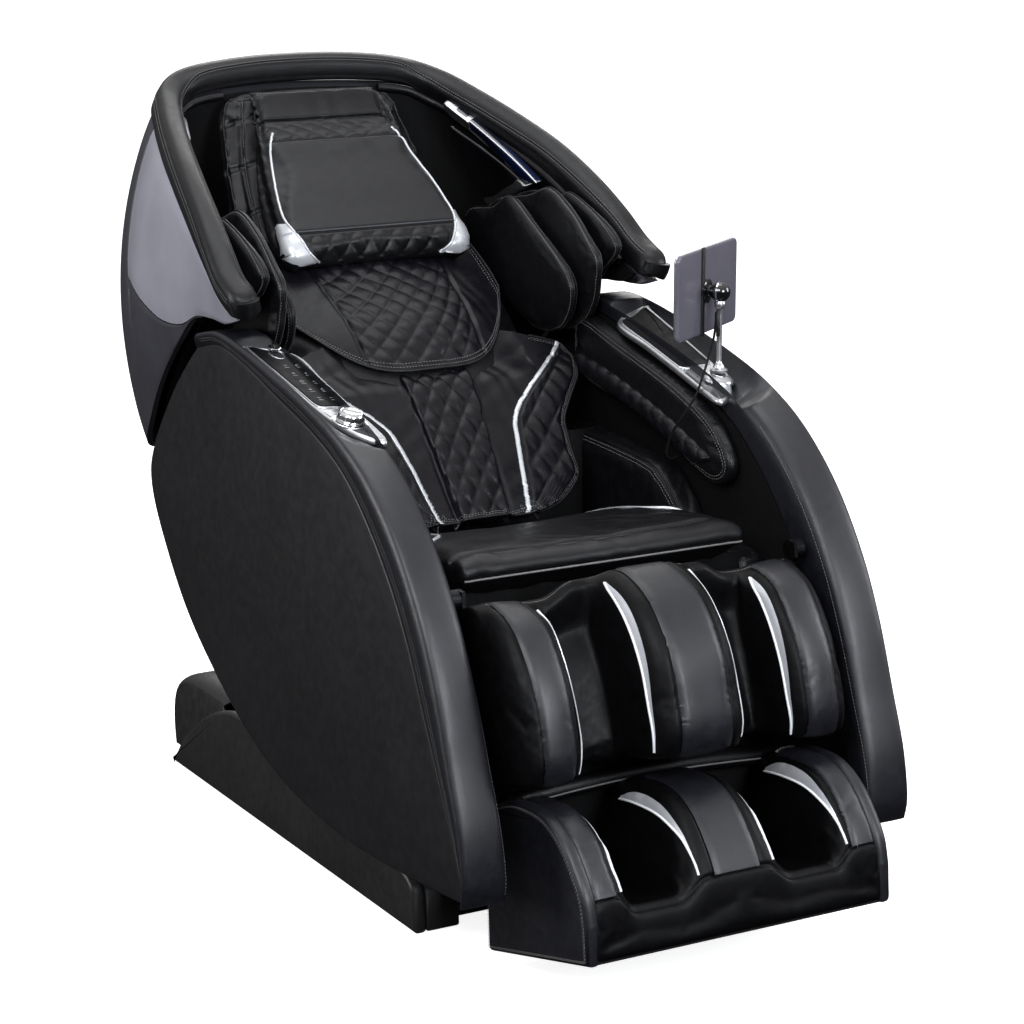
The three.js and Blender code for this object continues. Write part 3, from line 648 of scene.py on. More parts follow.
def simulate():
    """Blows all the prepared pads up together, then keeps each point within its cap."""
    before = [coords(obj) for obj, *_ in soft]
    for obj, pressure, _, pins in soft:
        cloth = obj.modifiers.new("stuffing", "CLOTH")
        cloth.settings.quality = 4
        cloth.settings.mass = 0.3
        cloth.settings.tension_stiffness = 12
        cloth.settings.compression_stiffness = 12
        cloth.settings.shear_stiffness = 5
        cloth.settings.bending_stiffness = 0.6
        cloth.settings.use_pressure = True
        cloth.settings.uniform_pressure_force = pressure
        cloth.settings.effector_weights.gravity = 0
        cloth.collision_settings.use_collision = False
        if pins:
            cloth.settings.vertex_group_mass = "held"
    scene = bpy.context.scene
    for number in range(1, FRAMES + 1):
        scene.frame_set(number)
    for (obj, _, cap, _), rest in zip(soft, before):
        bake_modifiers(obj)
        move = coords(obj) - rest
        far = np.linalg.norm(move, axis=1, keepdims=True)
        set_coords(obj, rest + move * np.minimum(1, cap / np.maximum(far, 1e-9)))
    scene.frame_set(1)
    for obj, *_ in soft:
        obj.vertex_groups.clear()
        obj.modifiers.new("finer", "SUBSURF").levels = 1
        bake_modifiers(obj)


# ---------------------------------------------------------------- studio
def camera():
    lens = bpy.data.cameras.new("camera")
    lens.lens = 102.3
    lens.sensor_width = 36
    obj = bpy.data.objects.new("camera", lens)
    obj.location = (-2.28, -4.2375, 1.751)
    obj.rotation_euler = (math.radians(90 - 14), 0, math.radians(-29.4))
    bpy.context.scene.collection.objects.link(obj)
    bpy.context.scene.camera = obj


def softbox(name, place, target, size, power, tint=(1, 1, 1)):
    light = bpy.data.lights.new(name, "AREA")
    light.shape = "RECTANGLE"
    light.size, light.size_y = size
    light.energy = power
    light.color = tint
    obj = bpy.data.objects.new(name, light)
    obj.location = place
    obj.rotation_euler = (Vector(target) - Vector(place)).to_track_quat("-Z", "Y").to_euler()
    bpy.context.scene.collection.objects.link(obj)


def sky():
    """Dark below and pale above, so that leather only shines where it faces up or to a softbox."""
    world = bpy.data.worlds.new("studio")
    world.use_nodes = True
    nodes, links = world.node_tree.nodes, world.node_tree.links
    place = nodes.new("ShaderNodeTexCoord")
    parts = nodes.new("ShaderNodeSeparateXYZ")
    height = nodes.new("ShaderNodeMapRange")
    height.inputs["From Min"].default_value = -1.0
    ramp = nodes.new("ShaderNodeValToRGB")
    for position, value in ((0.62, 0.045), (1.0, 0.13)):
        ramp.color_ramp.elements.new(position).color = (value * 0.96, value * 0.97, value * 1.04, 1)
    ramp.color_ramp.elements[0].color = (0.015, 0.015, 0.016, 1)
    ramp.color_ramp.elements[1].position = 0.5
    ramp.color_ramp.elements[1].color = (0.04, 0.04, 0.042, 1)
    links.new(place.outputs["Generated"], parts.inputs[0])
    links.new(parts.outputs["Z"], height.inputs["Value"])
    links.new(height.outputs[0], ramp.inputs["Fac"])
    links.new(ramp.outputs["Color"], nodes["Background"].inputs["Color"])
    bpy.context.scene.world = world


def studio():
    bpy.context.scene.view_settings.view_transform = "Standard"
    sky()
    softbox("key", (-2.5, -2.4, 2.9), (0, -0.1, 0.6), (1.9, 1.3), 82, (0.93, 0.96, 1.0))
    softbox("front", (0.3, -4.0, 2.1), (0, -0.3, 0.5), (1.5, 1.2), 92, (0.90, 0.94, 1.0))
    softbox("top", (0.1, 0.3, 3.3), (0, 0, 0.6), (2.0, 1.6), 22, (0.95, 0.97, 1.0))
    softbox("side", (-3.6, 1.4, 1.3), (0, 0.2, 0.8), (1.6, 2.0), 72, (0.97, 0.98, 1.0))
    softbox("right", (3.2, -1.6, 1.8), (0, -0.2, 0.5), (1.2, 1.6), 45, (0.93, 0.95, 1.0))
    softbox("back", (1.8, 3.2, 2.4), (0, 0.2, 0.8), (2.4, 1.8), 40)
    floor_and_backdrop()


def floor_and_backdrop():
    half = 40
    floor = bpy.data.meshes.new("floor")
    low = -0.0005
    floor.from_pydata([(-half, -half, low), (half, -half, low), (half, half, low), (-half, half, low)], [],
                      [(0, 1, 2, 3)])
    look, nodes, links, shader = new_look("pale_floor")
    varied(nodes, links, shader, "Base Color", 3, (0.90, 0.90, 0.90), (0.93, 0.93, 0.93))
    shader.inputs["Roughness"].default_value = 0.8
    shader.inputs["Specular IOR Level"].default_value = 0.1
    shader.inputs["Emission Color"].default_value = (1, 1, 1, 1)
    shader.inputs["Emission Strength"].default_value = 0.85
    floor.materials.append(look)
    obj = bpy.data.objects.new("floor", floor)
    obj.visible_glossy = False
    obj.visible_diffuse = False
    bpy.context.scene.collection.objects.link(obj)


# ---------------------------------------------------------------- the tablet's cable
CABLE_RADIUS = 0.002
CABLE_ROUTE = mm([
    [336, -280, 910.6], [335, -281, 895], [331, -281, 866], [321, -283, 838], [307, -290, 812],
    [291, -292, 778],
    [276, -280, 744], [271, -256, 713], [270.5, -241, 687], [273, -234, 667], [283, -231, 659],
    [302, -230, 662],
    [322.6, -230, 663],
])


def cable():
    path = even(Curve(CABLE_ROUTE, True)(np.linspace(0, 1, 400)), 0.004)
    obj = tube("tablet_lead", path, CABLE_RADIUS, RUBBER, "carriage", "rubber", 12, ["tablet_cable"])


# ---------------------------------------------------------------- arms
CROWN = Curve(mm([
    [-750, 166], [-757, 205], [-745, 281], [-712, 372], [-672, 479], [-620, 577], [-545, 673], [-450, 751],
    [-345, 803], [-230, 836], [-110, 861], [0, 879], [90, 886], [165, 872]]))
SEAM = Curve(mm([
    [-736, 168], [-735, 200], [-706, 262], [-668, 335], [-618, 428], [-570, 520], [-510, 605], [-433, 684],
    [-352, 743], [-250, 783], [-125, 815], [-5, 846], [100, 862], [190, 843]]))
ARM_REAR = [[230, 812], [300, 748], [385, 647], [412, 575], [370, 485], [251, 352], [58, 231],
            [-117, 168], [-340, 143], [-554, 151], [-725, 166]]
# The band's section, (X, share of the way from seam to crown), at the front and beside the console.
BAND_FRONT = [(390, 0), (395, 0.28), (399, 0.58), (400, 0.83), (396, 0.97), (386, 1.02), (370, 1.02),
              (352, 0.99),
              (338, 0.94), (329, 0.84), (324.5, 0.65), (323, 0.4), (323, 0)]
BAND_CONSOLE = [(390, 0), (396.5, 0.32), (400.5, 0.62), (400, 0.84), (396, 0.94), (390, 0.96), (376, 0.96),
                (360, 0.95), (345, 0.93), (333, 0.88), (325, 0.76), (323, 0.5), (323, 0)]
BEZEL = [[304, -21], [303, -120], [302, -218], [300, -300], [303, -338], [315, -343], [334, -331],
         [353, -303], [365, -264], [371, -222], [379, -120], [386, 2], [382, 14], [370, 14]]
CONSOLE_TOP = 10
# The console's outer edge: its X at each Y.
BEZEL_OUTER = ([-343, -338, -331, -303, -264, -222, -120, 2, 14],
               [309, 324, 334, 353, 365, 371, 379, 386, 388])


def console_base(x, y):
    return 862 + 0.245 * (y - 20) - 0.1 * (368 - np.abs(x))


def smoothstep(x, low, high):
    t = np.clip((x - low) / (high - low), 0, 1)
    return t * t * (3 - 2 * t)


def band_surface(rows=230, cols=44):
    """The band's outer surface as a grid, rows along the arm and columns over it."""
    t = np.linspace(0, 1, rows)
    crown, seam = CROWN(t), SEAM(t)
    share = np.linspace(0, 1, cols)
    front, console = Curve(BAND_FRONT)(share), Curve(BAND_CONSOLE)(share)
    near = smoothstep(crown[:, 0], -0.46, -0.33)[:, None, None]
    section = front * (1 - near) + console * near
    x = section[..., 0] * MM
    ease = section[..., 1][..., None]
    yz = seam[:, None] * (1 - ease) + crown[:, None] * ease
    points = np.dstack([x, yz])
    x, y = points[..., 0], points[..., 1]
    rim = np.interp(y / MM, *BEZEL_OUTER) * MM
    plane = console_base(x / MM, y / MM) * MM - 0.005 * (x > rim)
    rise = np.clip((x - rim) / (0.394 - rim), 0, 1) ** 1.2
    free = 1 - smoothstep(y, -0.43, -0.35) * (1 - smoothstep(y, 0.012, 0.06))
    cap = plane + rise * (crown[:, None, 1] - 0.004 - plane) + 0.03 * free
    lower = (x < 0.3945) & (points[..., 2] > cap) & (x > 0.3245)
    points[..., 2][lower] = cap[lower]
    return points


def panel_outline(offset):
    front = SEAM(np.linspace(0, 1, 150))
    rear = Curve(mm(ARM_REAR))(np.linspace(0, 1, 130))
    return inset(np.vstack([front, rear]), offset)


def arm_panel(name, side, body="carriage"):
    """The outer panel: a slightly domed moulding with a rounded edge."""
    outline = panel_outline(0.0016)
    middle = outline.mean(0)
    rings = []
    out, thick, dome, edge = ARM_OUT * MM, 0.018, 0.007, 0.003
    rings.append(in_plane(inset(outline, edge), out - thick))
    for a in np.linspace(0, math.pi / 2, 6):
        rings.append(in_plane(inset(outline, edge * (1 - math.cos(a))), out - edge * (1 - math.sin(a))))
    rim = inset(outline, edge)
    for share in (0.97, 0.92, 0.84, 0.74, 0.62, 0.48, 0.33, 0.18, 0.06):
        rings.append(in_plane(middle + (rim - middle) * share, out + dome * (1 - share**2.2)))
    rings = np.array(rings) * (side, 1, 1)
    loft(name, rings, PANEL, body, "shell", [f"{name.split('_')[0]}_arm_panel"], 60)


def arm_bands():
    grid = band_surface()
    normals = grid_normals(grid)
    wide = ARM_OUT * MM
    for name, side in (("left", 1), ("right", -1)):
        arm_panel(f"{name}_arm_shell", side)
        loft(f"{name}_arm_padding", grid * (side, 1, 1), BAND, "carriage", "leather", [f"{name}_arm_band"],
             70)
        for col in (3, 5, 34):
            path, up = grid[:, col] * (side, 1, 1), normals[:, col] * (side, 1, 1)
            outwards = np.sign(np.sum(up * (path - path.mean(0)), 1, keepdims=True))
            keep = slice(6, -6) if col < 10 else slice(6, 128)
            stitch("carriage", path[keep], (up * outwards)[keep], radius=0.0005)
        seam = np.column_stack([np.full(200, wide - 0.001) * side, SEAM(np.linspace(0, 1, 200))])
        tube(f"{name}_arm_seam", seam, 0.0016, RUBBER, "carriage", "rubber", 8)


# ---------------------------------------------------------------- consoles
def console_slab(name, outline, layers, side, look, slot, stands_for=(), smooth_angle=50):
    """A plate on the console plane: each layer is (inset, height over the plane)."""
    rings = []
    for away, height in layers:
        ring = inset(np.array(outline, float), away)
        z = console_base(ring[:, 0], ring[:, 1]) + height
        rings.append(np.column_stack([ring, z]) * MM * (side, 1, 1))
    middle = ring.mean(0)
    for share in (0.8, 0.6, 0.4, 0.2, 0.03):
        inner = middle + (ring - middle) * share
        z = console_base(inner[:, 0], inner[:, 1]) + height
        rings.append(np.column_stack([inner, z]) * MM * (side, 1, 1))
    return loft(name, rings, look, "carriage", slot, stands_for, smooth_angle)


def rounded(outline, count=160):
    return smooth(outline, count, closed=True)


PAD_OUTLINE = [[311, -29], [310.5, -120], [310, -200], [312, -214], [320, -220], [340, -221.5], [356, -222],
               [364, -214], [367, -180], [373, -90], [378, -4], [376, 4], [370, 5], [340, -14]]
UP = unit(np.array([0.0966, -0.237, 0.966]))


def consoles():
    rim = rounded(BEZEL)
    inlay = rounded(PAD_OUTLINE)
    for name, side in (("left", 1), ("right", -1)):
        layers = [(1, 0.3), (0, 1), (-0.4, 3), (0, 7), (1.2, 9.2), (3, 10.2), (4.6, 10.2), (5.4, 9.4)]
        console_slab(f"{name}_console_frame", rim, layers, side, SATIN, "satin", [f"{name}_console_bezel"])
        console_slab(f"{name}_console_lip", inlay,
                     [(-3, 9.2), (-3, 10.6), (-2.2, 11.6), (-0.8, 11.6), (0, 10.4)],
                     side, SATIN, "satin")
    console_slab("phone_mat", inlay, [(0.2, 10), (0.2, 11.4), (1, 12), (2.4, 12), (3, 11.5)], 1,
                 RUBBER, "rubber", ["phone_pad"])
    console_slab("keypad_panel", inlay, [(0.2, 10), (0.2, 11.8), (0.8, 12.4), (2, 12.5)], -1,
                 KEYS, "glass", ["keypad_glass"])
    keypad_marks()
    knob()
    power_button()


def on_console(x, y, height):
    return np.array([x, y, console_base(x, y) + height]) * MM


def ring_mark(name, x, y, long, wide, thick, look, body="carriage", height=12.7):
    """A thin raised ring or dot printed on the glass; its long way is along the arm."""
    turn = np.linspace(0, 2 * math.pi, 36, endpoint=False)
    path = np.array([on_console(x + wide * math.cos(a), y + long * math.sin(a), height) for a in turn])
    path = np.vstack([path, path[:1]])
    return tube(name, path, thick * MM, look, body, "satin", 6)


def keypad_marks():
    """Generic marks: a ring round the start button, and a grid of small symbols."""
    ring_mark("start_ring", -343, -26, 17, 12, 1.0, SATIN, height=12.9)
    dashes = []
    for row in range(5):
        for column in range(2):
            x, y = -326 - 22 * column, -68 - 31 * row
            if (row + column) % 3 == 0:
                ring_mark(f"key_ring_{row}_{column}", x, y, 3.2, 3.2, 0.35, MARKS)
            else:
                dashes += [(x - 3, y, x + 3, y), (x, y - 3, x, y + 3)][: 1 + (row % 2)]
            dashes.append((x - 4, y - 8, x + 4, y - 8))
    for i, (x0, y0, x1, y1) in enumerate(dashes):
        path = np.array([on_console(x0 + (x1 - x0) * k, y0 + (y1 - y0) * k, 12.7) for k in np.linspace(0, 1,
                                                                                                       4)])
        tube(f"key_dash_{i}", path, 0.00035, MARKS, "carriage", "satin", 6)


def knob():
    """A chrome dial with facets cut round its edge and a dished top."""
    x, y = -336, -276
    foot = on_console(x, y, CONSOLE_TOP + 0.3)
    aside = unit(np.cross(UP, (0.9, 0.1, 0.2)))
    third = np.cross(UP, aside)
    turn = np.linspace(0, 2 * math.pi, 96, endpoint=False)
    flutes = 1 - 0.035 * np.abs(np.sin(6 * turn)) ** 0.7
    profile = [(20, 1.5, 0), (22.5, 1.8, 0), (23, 3, 0), (23, 5, 0), (22.4, 6, 0.5), (22, 8, 1),
               (21, 12.5, 1),
               (19.5, 15.5, 0.6), (17.5, 17, 0), (15.5, 17.2, 0), (13.5, 16, 0), (9, 15.2, 0), (3, 15, 0)]
    rings = []
    for r, h, cut in profile:
        radius = (r * (1 - cut + cut * flutes))[:, None] * MM
        rings.append(foot + UP * h * MM + radius * (np.cos(turn)[:, None] * aside + np.sin(turn)[:,
                None] * third))
    loft("dial", rings, CHROME, "volume_knob", "chrome", ["knob"], 30)
    lathe("dial_collar", [(29 * MM, -0.2 * MM), (29 * MM, 1.0 * MM), (27.5 * MM, 1.5 * MM),
                          (24 * MM, 1.4 * MM)],
          foot, UP, CHROME, "carriage", "chrome")


def power_button():
    foot = on_console(-338, -6, 12.5)
    profile = [(10, 2), (10.8, 2.3), (11, 3.2), (11, 4.3), (10.5, 5), (9.5, 5.2), (8, 5), (4, 4.8), (1, 4.7)]
    lathe("start_button_cap", mm(profile), foot, UP, CHROME, "start_button", "chrome", ["power_button"])


# ---------------------------------------------------------------- tablet and its stand
def stand():
    x, y, z = STAND
    base = console_base(x, y) + 22 - z
    profile = [(14, base), (15, base + 0.8), (15, base + 4), (13.5, base + 5.5), (9.5, base + 8),
               (8.5, base + 12),
               (6, base + 15), (5, base + 17), (4.6, base + 20), (4.6, 112), (7, 114), (9, 116), (9.5, 119),
               (9, 123), (7, 128), (6, 136)]
    lathe("stand_rod", mm(profile), np.array(STAND) * MM, (0, 0, 1), SATIN, "stand", "chrome", ["stand_pole"])
    dome = [(30, -3), (30, 0), (28, 4), (24, 8), (19, 11), (16, 12.5), (15.5, 14)]
    foot = on_console(x, y, CONSOLE_TOP)
    lathe("stand_dome", mm(dome) * (0.9, 0.72), foot, UP, SATIN, "carriage", "satin")
    lever = np.array([[x - 8, y - 9, z + 112], [x - 13, y - 15, z + 104], [x - 14, y - 17, z + 88],
                      [x - 13, y - 16, z + 70]]) * MM
    tube("stand_lever", even(Curve(lever)(np.linspace(0, 1, 40)), 0.003), 0.0035, PLASTIC, "stand",
         "plastic", 12)


TABLET_SIZE = (248, 143, 9)
TABLET_CENTRE = np.array([338, -245, 943]) * MM
WIDEWAYS, FACING = np.array([0.829, 0.559, 0]), np.array([-0.559, 0.829, 0])


def tablet_plate(name, wide, tall, corner, layers, look, slot, stands_for=(), centre=(0, 0)):
    """A rounded slab square to the tablet: each layer is (inset, depth towards the sitter)."""
    turn = np.linspace(0, 2 * math.pi, 96, endpoint=False)
    cx, cz = np.cos(turn), np.sin(turn)
    rings = []
    for away, depth in layers:
        r = max(corner - away, 0.5)
        px = np.sign(cx) * (wide / 2 - corner) + r * cx + centre[0]
        pz = np.sign(cz) * (tall / 2 - corner) + r * cz + centre[1]
        ring = TABLET_CENTRE + np.outer(px * MM, WIDEWAYS) + np.outer(pz * MM,
                                                                      (0, 0, 1)) + FACING * depth * MM
        rings.append(ring)
    return loft(name, rings, look, "tablet_head", slot, stands_for, 50)


def tablet():
    wide, tall, thick = TABLET_SIZE
    h = thick / 2
    tablet_plate("tablet_case", wide, tall, 12, [(4, -h), (1.5, -h + 0.6), (0.3, -h + 2), (0, -h + 4),
                                                 (0, h - 2),
                                                (0.8, h - 0.6), (2, h)], TABLET, "shell", ["tablet"])
    tablet_plate("tablet_glass", wide - 3, tall - 3, 11, [(0, h - 0.2), (0.4, h + 0.5), (60, h + 0.5)],
                 GLASS, "glass")
    tablet_plate("tablet_edge", wide + 0.6, tall + 0.6, 12.3, [(0.6, 0.6), (0, 1), (0, 3), (0.6, 3.4)],
                 SATIN, "satin")
    tablet_plate("tablet_strap", 10, tall + 5, 3, [(1, -h - 3.2), (0, -h - 2.2), (0, -h + 0.2)], PLASTIC,
                 "plastic",
                 (), (-26, 0))
    ball = np.array([STAND[0], STAND[1], BALL_Z]) * MM
    profile = [(2, -17), (8, -15.5), (13.5, -11), (16.5, -4), (17, 2), (15, 8), (11, 12), (9, 16), (10, 18),
               (17, 19.5),
               (20, 21), (20, 25)]
    lathe("tablet_socket", mm(profile), ball - (0, 0, 0.004), FACING, GLASS, "tablet_head", "plastic")
    lathe("tablet_socket_ring", mm([(16.2, -1.5), (17.8, -1), (17.8, 1.5), (16.2, 2)]),
          ball - (0, 0, 0.004), FACING,
          CHROME, "tablet_head", "chrome")


# ---------------------------------------------------------------- hood
RIBS = np.array([
    [[398, -18, 922], [405, -20, 932], [409, -22, 944]],
    [[397, 50, 902], [404, 50, 938], [408, 50, 975]],
    [[395, 120, 900], [400, 118, 958], [402, 110, 1017]],
    [[391, 200, 888], [398, 196, 976], [391, 180, 1064]],
    [[388, 268, 842], [397, 285, 985], [373, 280, 1118]],
    [[386, 352, 768], [396, 378, 978], [349, 380, 1160]],
    [[378, 432, 680], [391, 470, 955], [318, 485, 1200]],
    [[352, 512, 608], [370, 566, 930], [285, 567, 1230]],
    [[282, 566, 588], [298, 626, 920], [235, 615, 1249]],
    [[150, 592, 580], [158, 646, 915], [130, 632, 1262]],
    [[0, 600, 578], [0, 652, 915], [0, 638, 1266]]], float) * MM
RIM_DOWN = 30 * MM


def hood_row(level):
    one = RIBS[:, level]
    return Curve(np.vstack([one, mirror(one[-2::-1])]), True)


HOOD_ROWS = [hood_row(k) for k in range(3)]


def hood_point(u, v):
    low, mid, high = (row(u) for row in HOOD_ROWS)
    control = 2 * mid - low / 2 - high / 2
    v = np.asarray(v)[..., None]
    return low * (1 - v) ** 2 + 2 * control * v * (1 - v) + high * v**2


def hood_frame(u, v):
    """Point, outward normal and upward tangent of the hood's surface."""
    step = 0.004
    u, v = np.asarray(u, float), np.asarray(v, float)
    along = hood_point(np.minimum(1, u + step), v) - hood_point(np.maximum(0, u - step), v)
    up = unit(hood_point(u, np.minimum(1, v + step)) - hood_point(u, np.maximum(0, v - step)))
    return hood_point(u, v), unit(np.cross(along, up)), up


def rib_length(u):
    u = np.asarray(u, float)
    half = hood_point(u, u * 0 + 0.5)
    return (np.linalg.norm(hood_point(u, u * 0) - half, axis=-1)
            + np.linalg.norm(half - hood_point(u, u * 0 + 1), axis=-1))


def rim_top(u):
    return 1 - (RIM_DOWN + 0.006) / rib_length(u)


def gloss_low(u):
    t = np.minimum(u, 1 - u) / 0.36
    return 0.02 + 0.5 * smoothstep(t, 0.42, 1)


def hood_patch(name, u, low, high, outer, inner, rows, look, slot, stands_for=(), edge=0.0015):
    """A curved panel of the hood with softened edges, between two depths in from its outer surface."""
    body = []
    margin = np.array([0, 0.15, 0.5, 1]) * edge
    for k, value in enumerate(u):
        share = np.linspace(0, 1, rows)
        v = low[k] + (high[k] - low[k]) * share
        point, out, _ = hood_frame(np.full(rows, value), v)
        deep = np.zeros(rows) + outer
        for i, m in enumerate(margin[::-1]):
            deep[i] = max(deep[i], outer + m)
            deep[-1 - i] = max(deep[-1 - i], outer + m)
        body.append(np.vstack([point - out * deep[:, None], (point - out * inner)[::-1]]))
    return loft(name, body, look, "backrest", slot, stands_for, 60)


def hood():
    full = np.linspace(0.125, 0.875, 150)
    top = np.where((full > 0.31) & (full < 0.69), rim_top(full),
                   np.minimum(rim_top(full), gloss_low(full) - 0.008))
    hood_patch("hood_rear_shell", full, full * 0, top, 0, 0.012, 30, HULL, "shell", ["hood_shell"])
    for name, start in (("left", 0.012), ("right", 0.692)):
        u = np.linspace(start, start + 0.296, 60)
        # the side panels carry the gloss moulding whose light base colour is painted reflection
        hood_patch(f"{name}_hood_side", u, gloss_low(u), rim_top(u), -0.0005, 0.012, 26, GLOSS_PAINTED_REFLECTION, "gloss",
                   [f"{name}_hood_panel"])
    u = np.linspace(0.03, 0.97, 130)
    lining_top = 1 - (RIM_DOWN + 0.012) / rib_length(u)
    hood_patch("hood_inner_lining", u, u * 0 + 0.03, lining_top, 0.034, 0.04, 24, LINING, "lining",
               ["hood_lining"])
    rim()


# The rim's section: (outwards, upwards) from the hood's top edge.
RIM_RING = [(-4, -30), (2.5, -30), (4.6, -24), (5.2, -8), (4, 4), (-1, 12), (-9, 15.5), (-18, 16.5),
            (-28, 15.5),
            (-37, 11), (-43.5, 3), (-46, -8), (-46, -20), (-42, -30)]


def rim_surface(rows=260):
    u = np.linspace(0, 1, rows)
    point, out, up = hood_frame(u, u * 0 + 1)
    ring = smooth(RIM_RING, 56, closed=True) * MM
    # the ends are rounded off by shrinking the last sections towards their middle
    away = np.minimum(u, 1 - u) * 2.3
    shrink = np.sqrt(np.clip(1 - (1 - np.clip(away / 0.045, 0, 1)) ** 2, 0.02, 1))
    centre = np.array([-20, -7]) * MM
    ring = centre + (ring - centre) * shrink[:, None, None]
    surface = point[:, None] + ring[..., :1] * out[:, None] + ring[..., 1:] * up[:, None]
    return surface


def rim():
    surface = rim_surface()
    for name, u in (("left", 0.009), ("right", 0.991)):
        v = np.linspace(0.30, 0.985, 60)
        point, way, _ = hood_frame(np.full(60, u), v)
        tube(f"{name}_wing_end_roll", point - way * 0.019, 0.0240, LEATHER, "backrest", "leather", 20)
    loft("hood_padding", surface, LEATHER, "backrest", "leather", ["hood_rim"], 70)
    normals = unit(np.cross(np.gradient(surface, axis=0), np.gradient(surface, axis=1)))
    middle = surface.mean(1, keepdims=True)
    normals *= np.sign(np.sum(normals * (surface - middle), 2, keepdims=True))
    for col in (12, 37):
        line, ways = surface[5:-5, col], normals[5:-5, col]
        tube(f"rim_seam_{col}", line - ways * 0.0006, 0.0014, RUBBER, "backrest", "leather", 6)
        for other in (col - 1, col + 1):
            stitch("backrest", surface[5:-5, other], normals[5:-5, other], radius=0.0005)


# ---------------------------------------------------------------- base
FRONT_BLOCK = 60
REAR_COVER_HALF = 288


def base():
    for name, side in (("left", 1), ("right", -1)):
        top = smooth([[529, 1], [514, 22], [468, 68], [378, 128], [300, 160], [215, 172], [40, 158],
                      [-180, 128],
                      [-380, 98], [-426, 80]], 90)
        outline = np.vstack([[[-437, 1]], [[-100, 1]], [[300, 1]], top, [[-434, 70]]]) * MM
        x0, x1 = sorted((side * (SKIRT_OUT - SKIRT_THICK) * MM, side * SKIRT_OUT * MM))
        plate(f"{name}_skirt", outline, x0, x1, 0.007, SHELL, "base", "plastic", [f"{name}_base_skirt"])
        block = mm([[-436, 1], [-300, 1], [-300, 84], [-420, 76], [-434, 66]])
        x2, x3 = sorted((side * (SKIRT_OUT - SKIRT_THICK - FRONT_BLOCK) * MM,
                         side * (SKIRT_OUT - SKIRT_THICK) * MM))
        plate(f"{name}_skirt_end", block[::-1], x2, x3, 0.005, SHELL, "base", "plastic")
    rear_cover()


def rear_cover():
    """The rounded cover over the transport wheels, with the mains inlet in its back."""
    path = Curve(mm([[330, 168], [400, 171], [470, 169], [515, 164], [556, 152], [583, 130], [596, 95],
                     [598, 50],
                     [592, 10]]))(np.linspace(0, 1, 44))
    heart = mm([470, 60])
    x = np.sin(np.linspace(-1, 1, 71) * math.pi / 2) * REAR_COVER_HALF * MM
    reach = np.clip((np.abs(x) / MM - REAR_COVER_HALF + 38) / 38, 0, 1)
    scale = 1 - 0.16 * (1 - np.sqrt(1 - reach**2))
    yz = heart + (path[:, None] - heart) * scale[None, :, None]
    grid = np.dstack([np.broadcast_to(x, yz.shape[:2]), yz])
    piece("rear_cover_moulding", *slab(grid, 0.004), PLASTIC, "base", "plastic", ["rear_base_cover"], 60)
    end = np.vstack([yz[:, 0], mm([[430, 12], [330, 110]])])
    for name, side in (("left", 1), ("right", -1)):
        x0, x1 = sorted((side * REAR_COVER_HALF * MM, side * (REAR_COVER_HALF - 5) * MM))
        plate(f"{name}_rear_cover_end", end, x0, x1, 0.0015, PLASTIC, "base", "plastic", (), 2)
    frame = mm([[590, 56], [602, 56], [602, 88], [590, 88]])
    plate("inlet_frame", frame, -0.186, -0.144, 0.002, RUBBER, "base", "plastic", (), 2)
    socket = mm([[590, 63], [602.6, 63], [602.6, 81], [590, 81]])
    plate("inlet_socket", socket, -0.178, -0.152, 0.001, GLASS, "base", "plastic", (), 2)


def plain_looks():
    """Finishes for the hard CAD pieces that stay as they are."""
    looks = {
        "base_chassis": STEEL, "left_slide_rail": STEEL, "right_slide_rail": STEEL, "wheel_axle": STEEL,
        "control_box": PLASTIC, "air_pump": PLASTIC, "power_switch": RUBBER,
        "left_transport_wheel": RUBBER, "right_transport_wheel": RUBBER, "seat_frame": STEEL,
        "back_frame": STEEL,
        "massage_track": STEEL, "massage_carriage": PLASTIC, "roller_fork": STEEL, "massage_rollers": RUBBER,
        "leg_frame": STEEL, "foot_roller": RUBBER, "left_arm_core": LINING, "right_arm_core": LINING,
    }
    for name, look in looks.items():
        NODES[name].data.materials.clear()
        NODES[name].data.materials.append(look)


# ---------------------------------------------------------------- inner sides of the arms
def tongue_pad(name, outline, x_in, side, edge, node=None, voxel=0.005):
    """A padded shape standing on the arm's inner face."""
    x0, x1 = sorted((side * x_in * MM, side * (ARM_IN - 0.3) * MM))
    shape = smooth(mm(outline), 120, closed=True)
    obj = plate(name, shape, x0, x1, edge, LEATHER, "carriage", "leather", [node] if node else [], 5)
    return stuff(obj, voxel, 4, 3.0, 0.005, lambda p: np.abs(p[:, 0]) > (ARM_IN - 5) * MM), shape


TONGUE = [[105, 852], [-60, 822], [-200, 790], [-310, 752], [-366, 706], [-384, 672], [-368, 644],
          [-335, 634],
          [-290, 644], [-190, 676], [-60, 712], [100, 748]]
THIGH = [[-448, 496], [-462, 530], [-430, 548], [-300, 562], [-262, 596], [-215, 634], [-154, 652], [90, 660],
         [150, 640], [190, 560], [190, 400], [0, 380], [-290, 400]]
QUILT_LOW = mm([[105, 755], [-60, 722], [-190, 688], [-285, 662], [-330, 672]])
QUILT_HIGH = mm([[108, 796], [-60, 764], [-190, 732], [-285, 702], [-338, 682]])


def arm_inside(name, side):
    tongue, edge = tongue_pad(f"{name}_arm_tongue", TONGUE, 297, side, 0.010)
    thigh, rim = tongue_pad(f"{name}_thigh_pad", THIGH, 270, side, 0.014, f"{name}_arm_lower_pad")
    return (name, side, tongue, edge, thigh, rim)


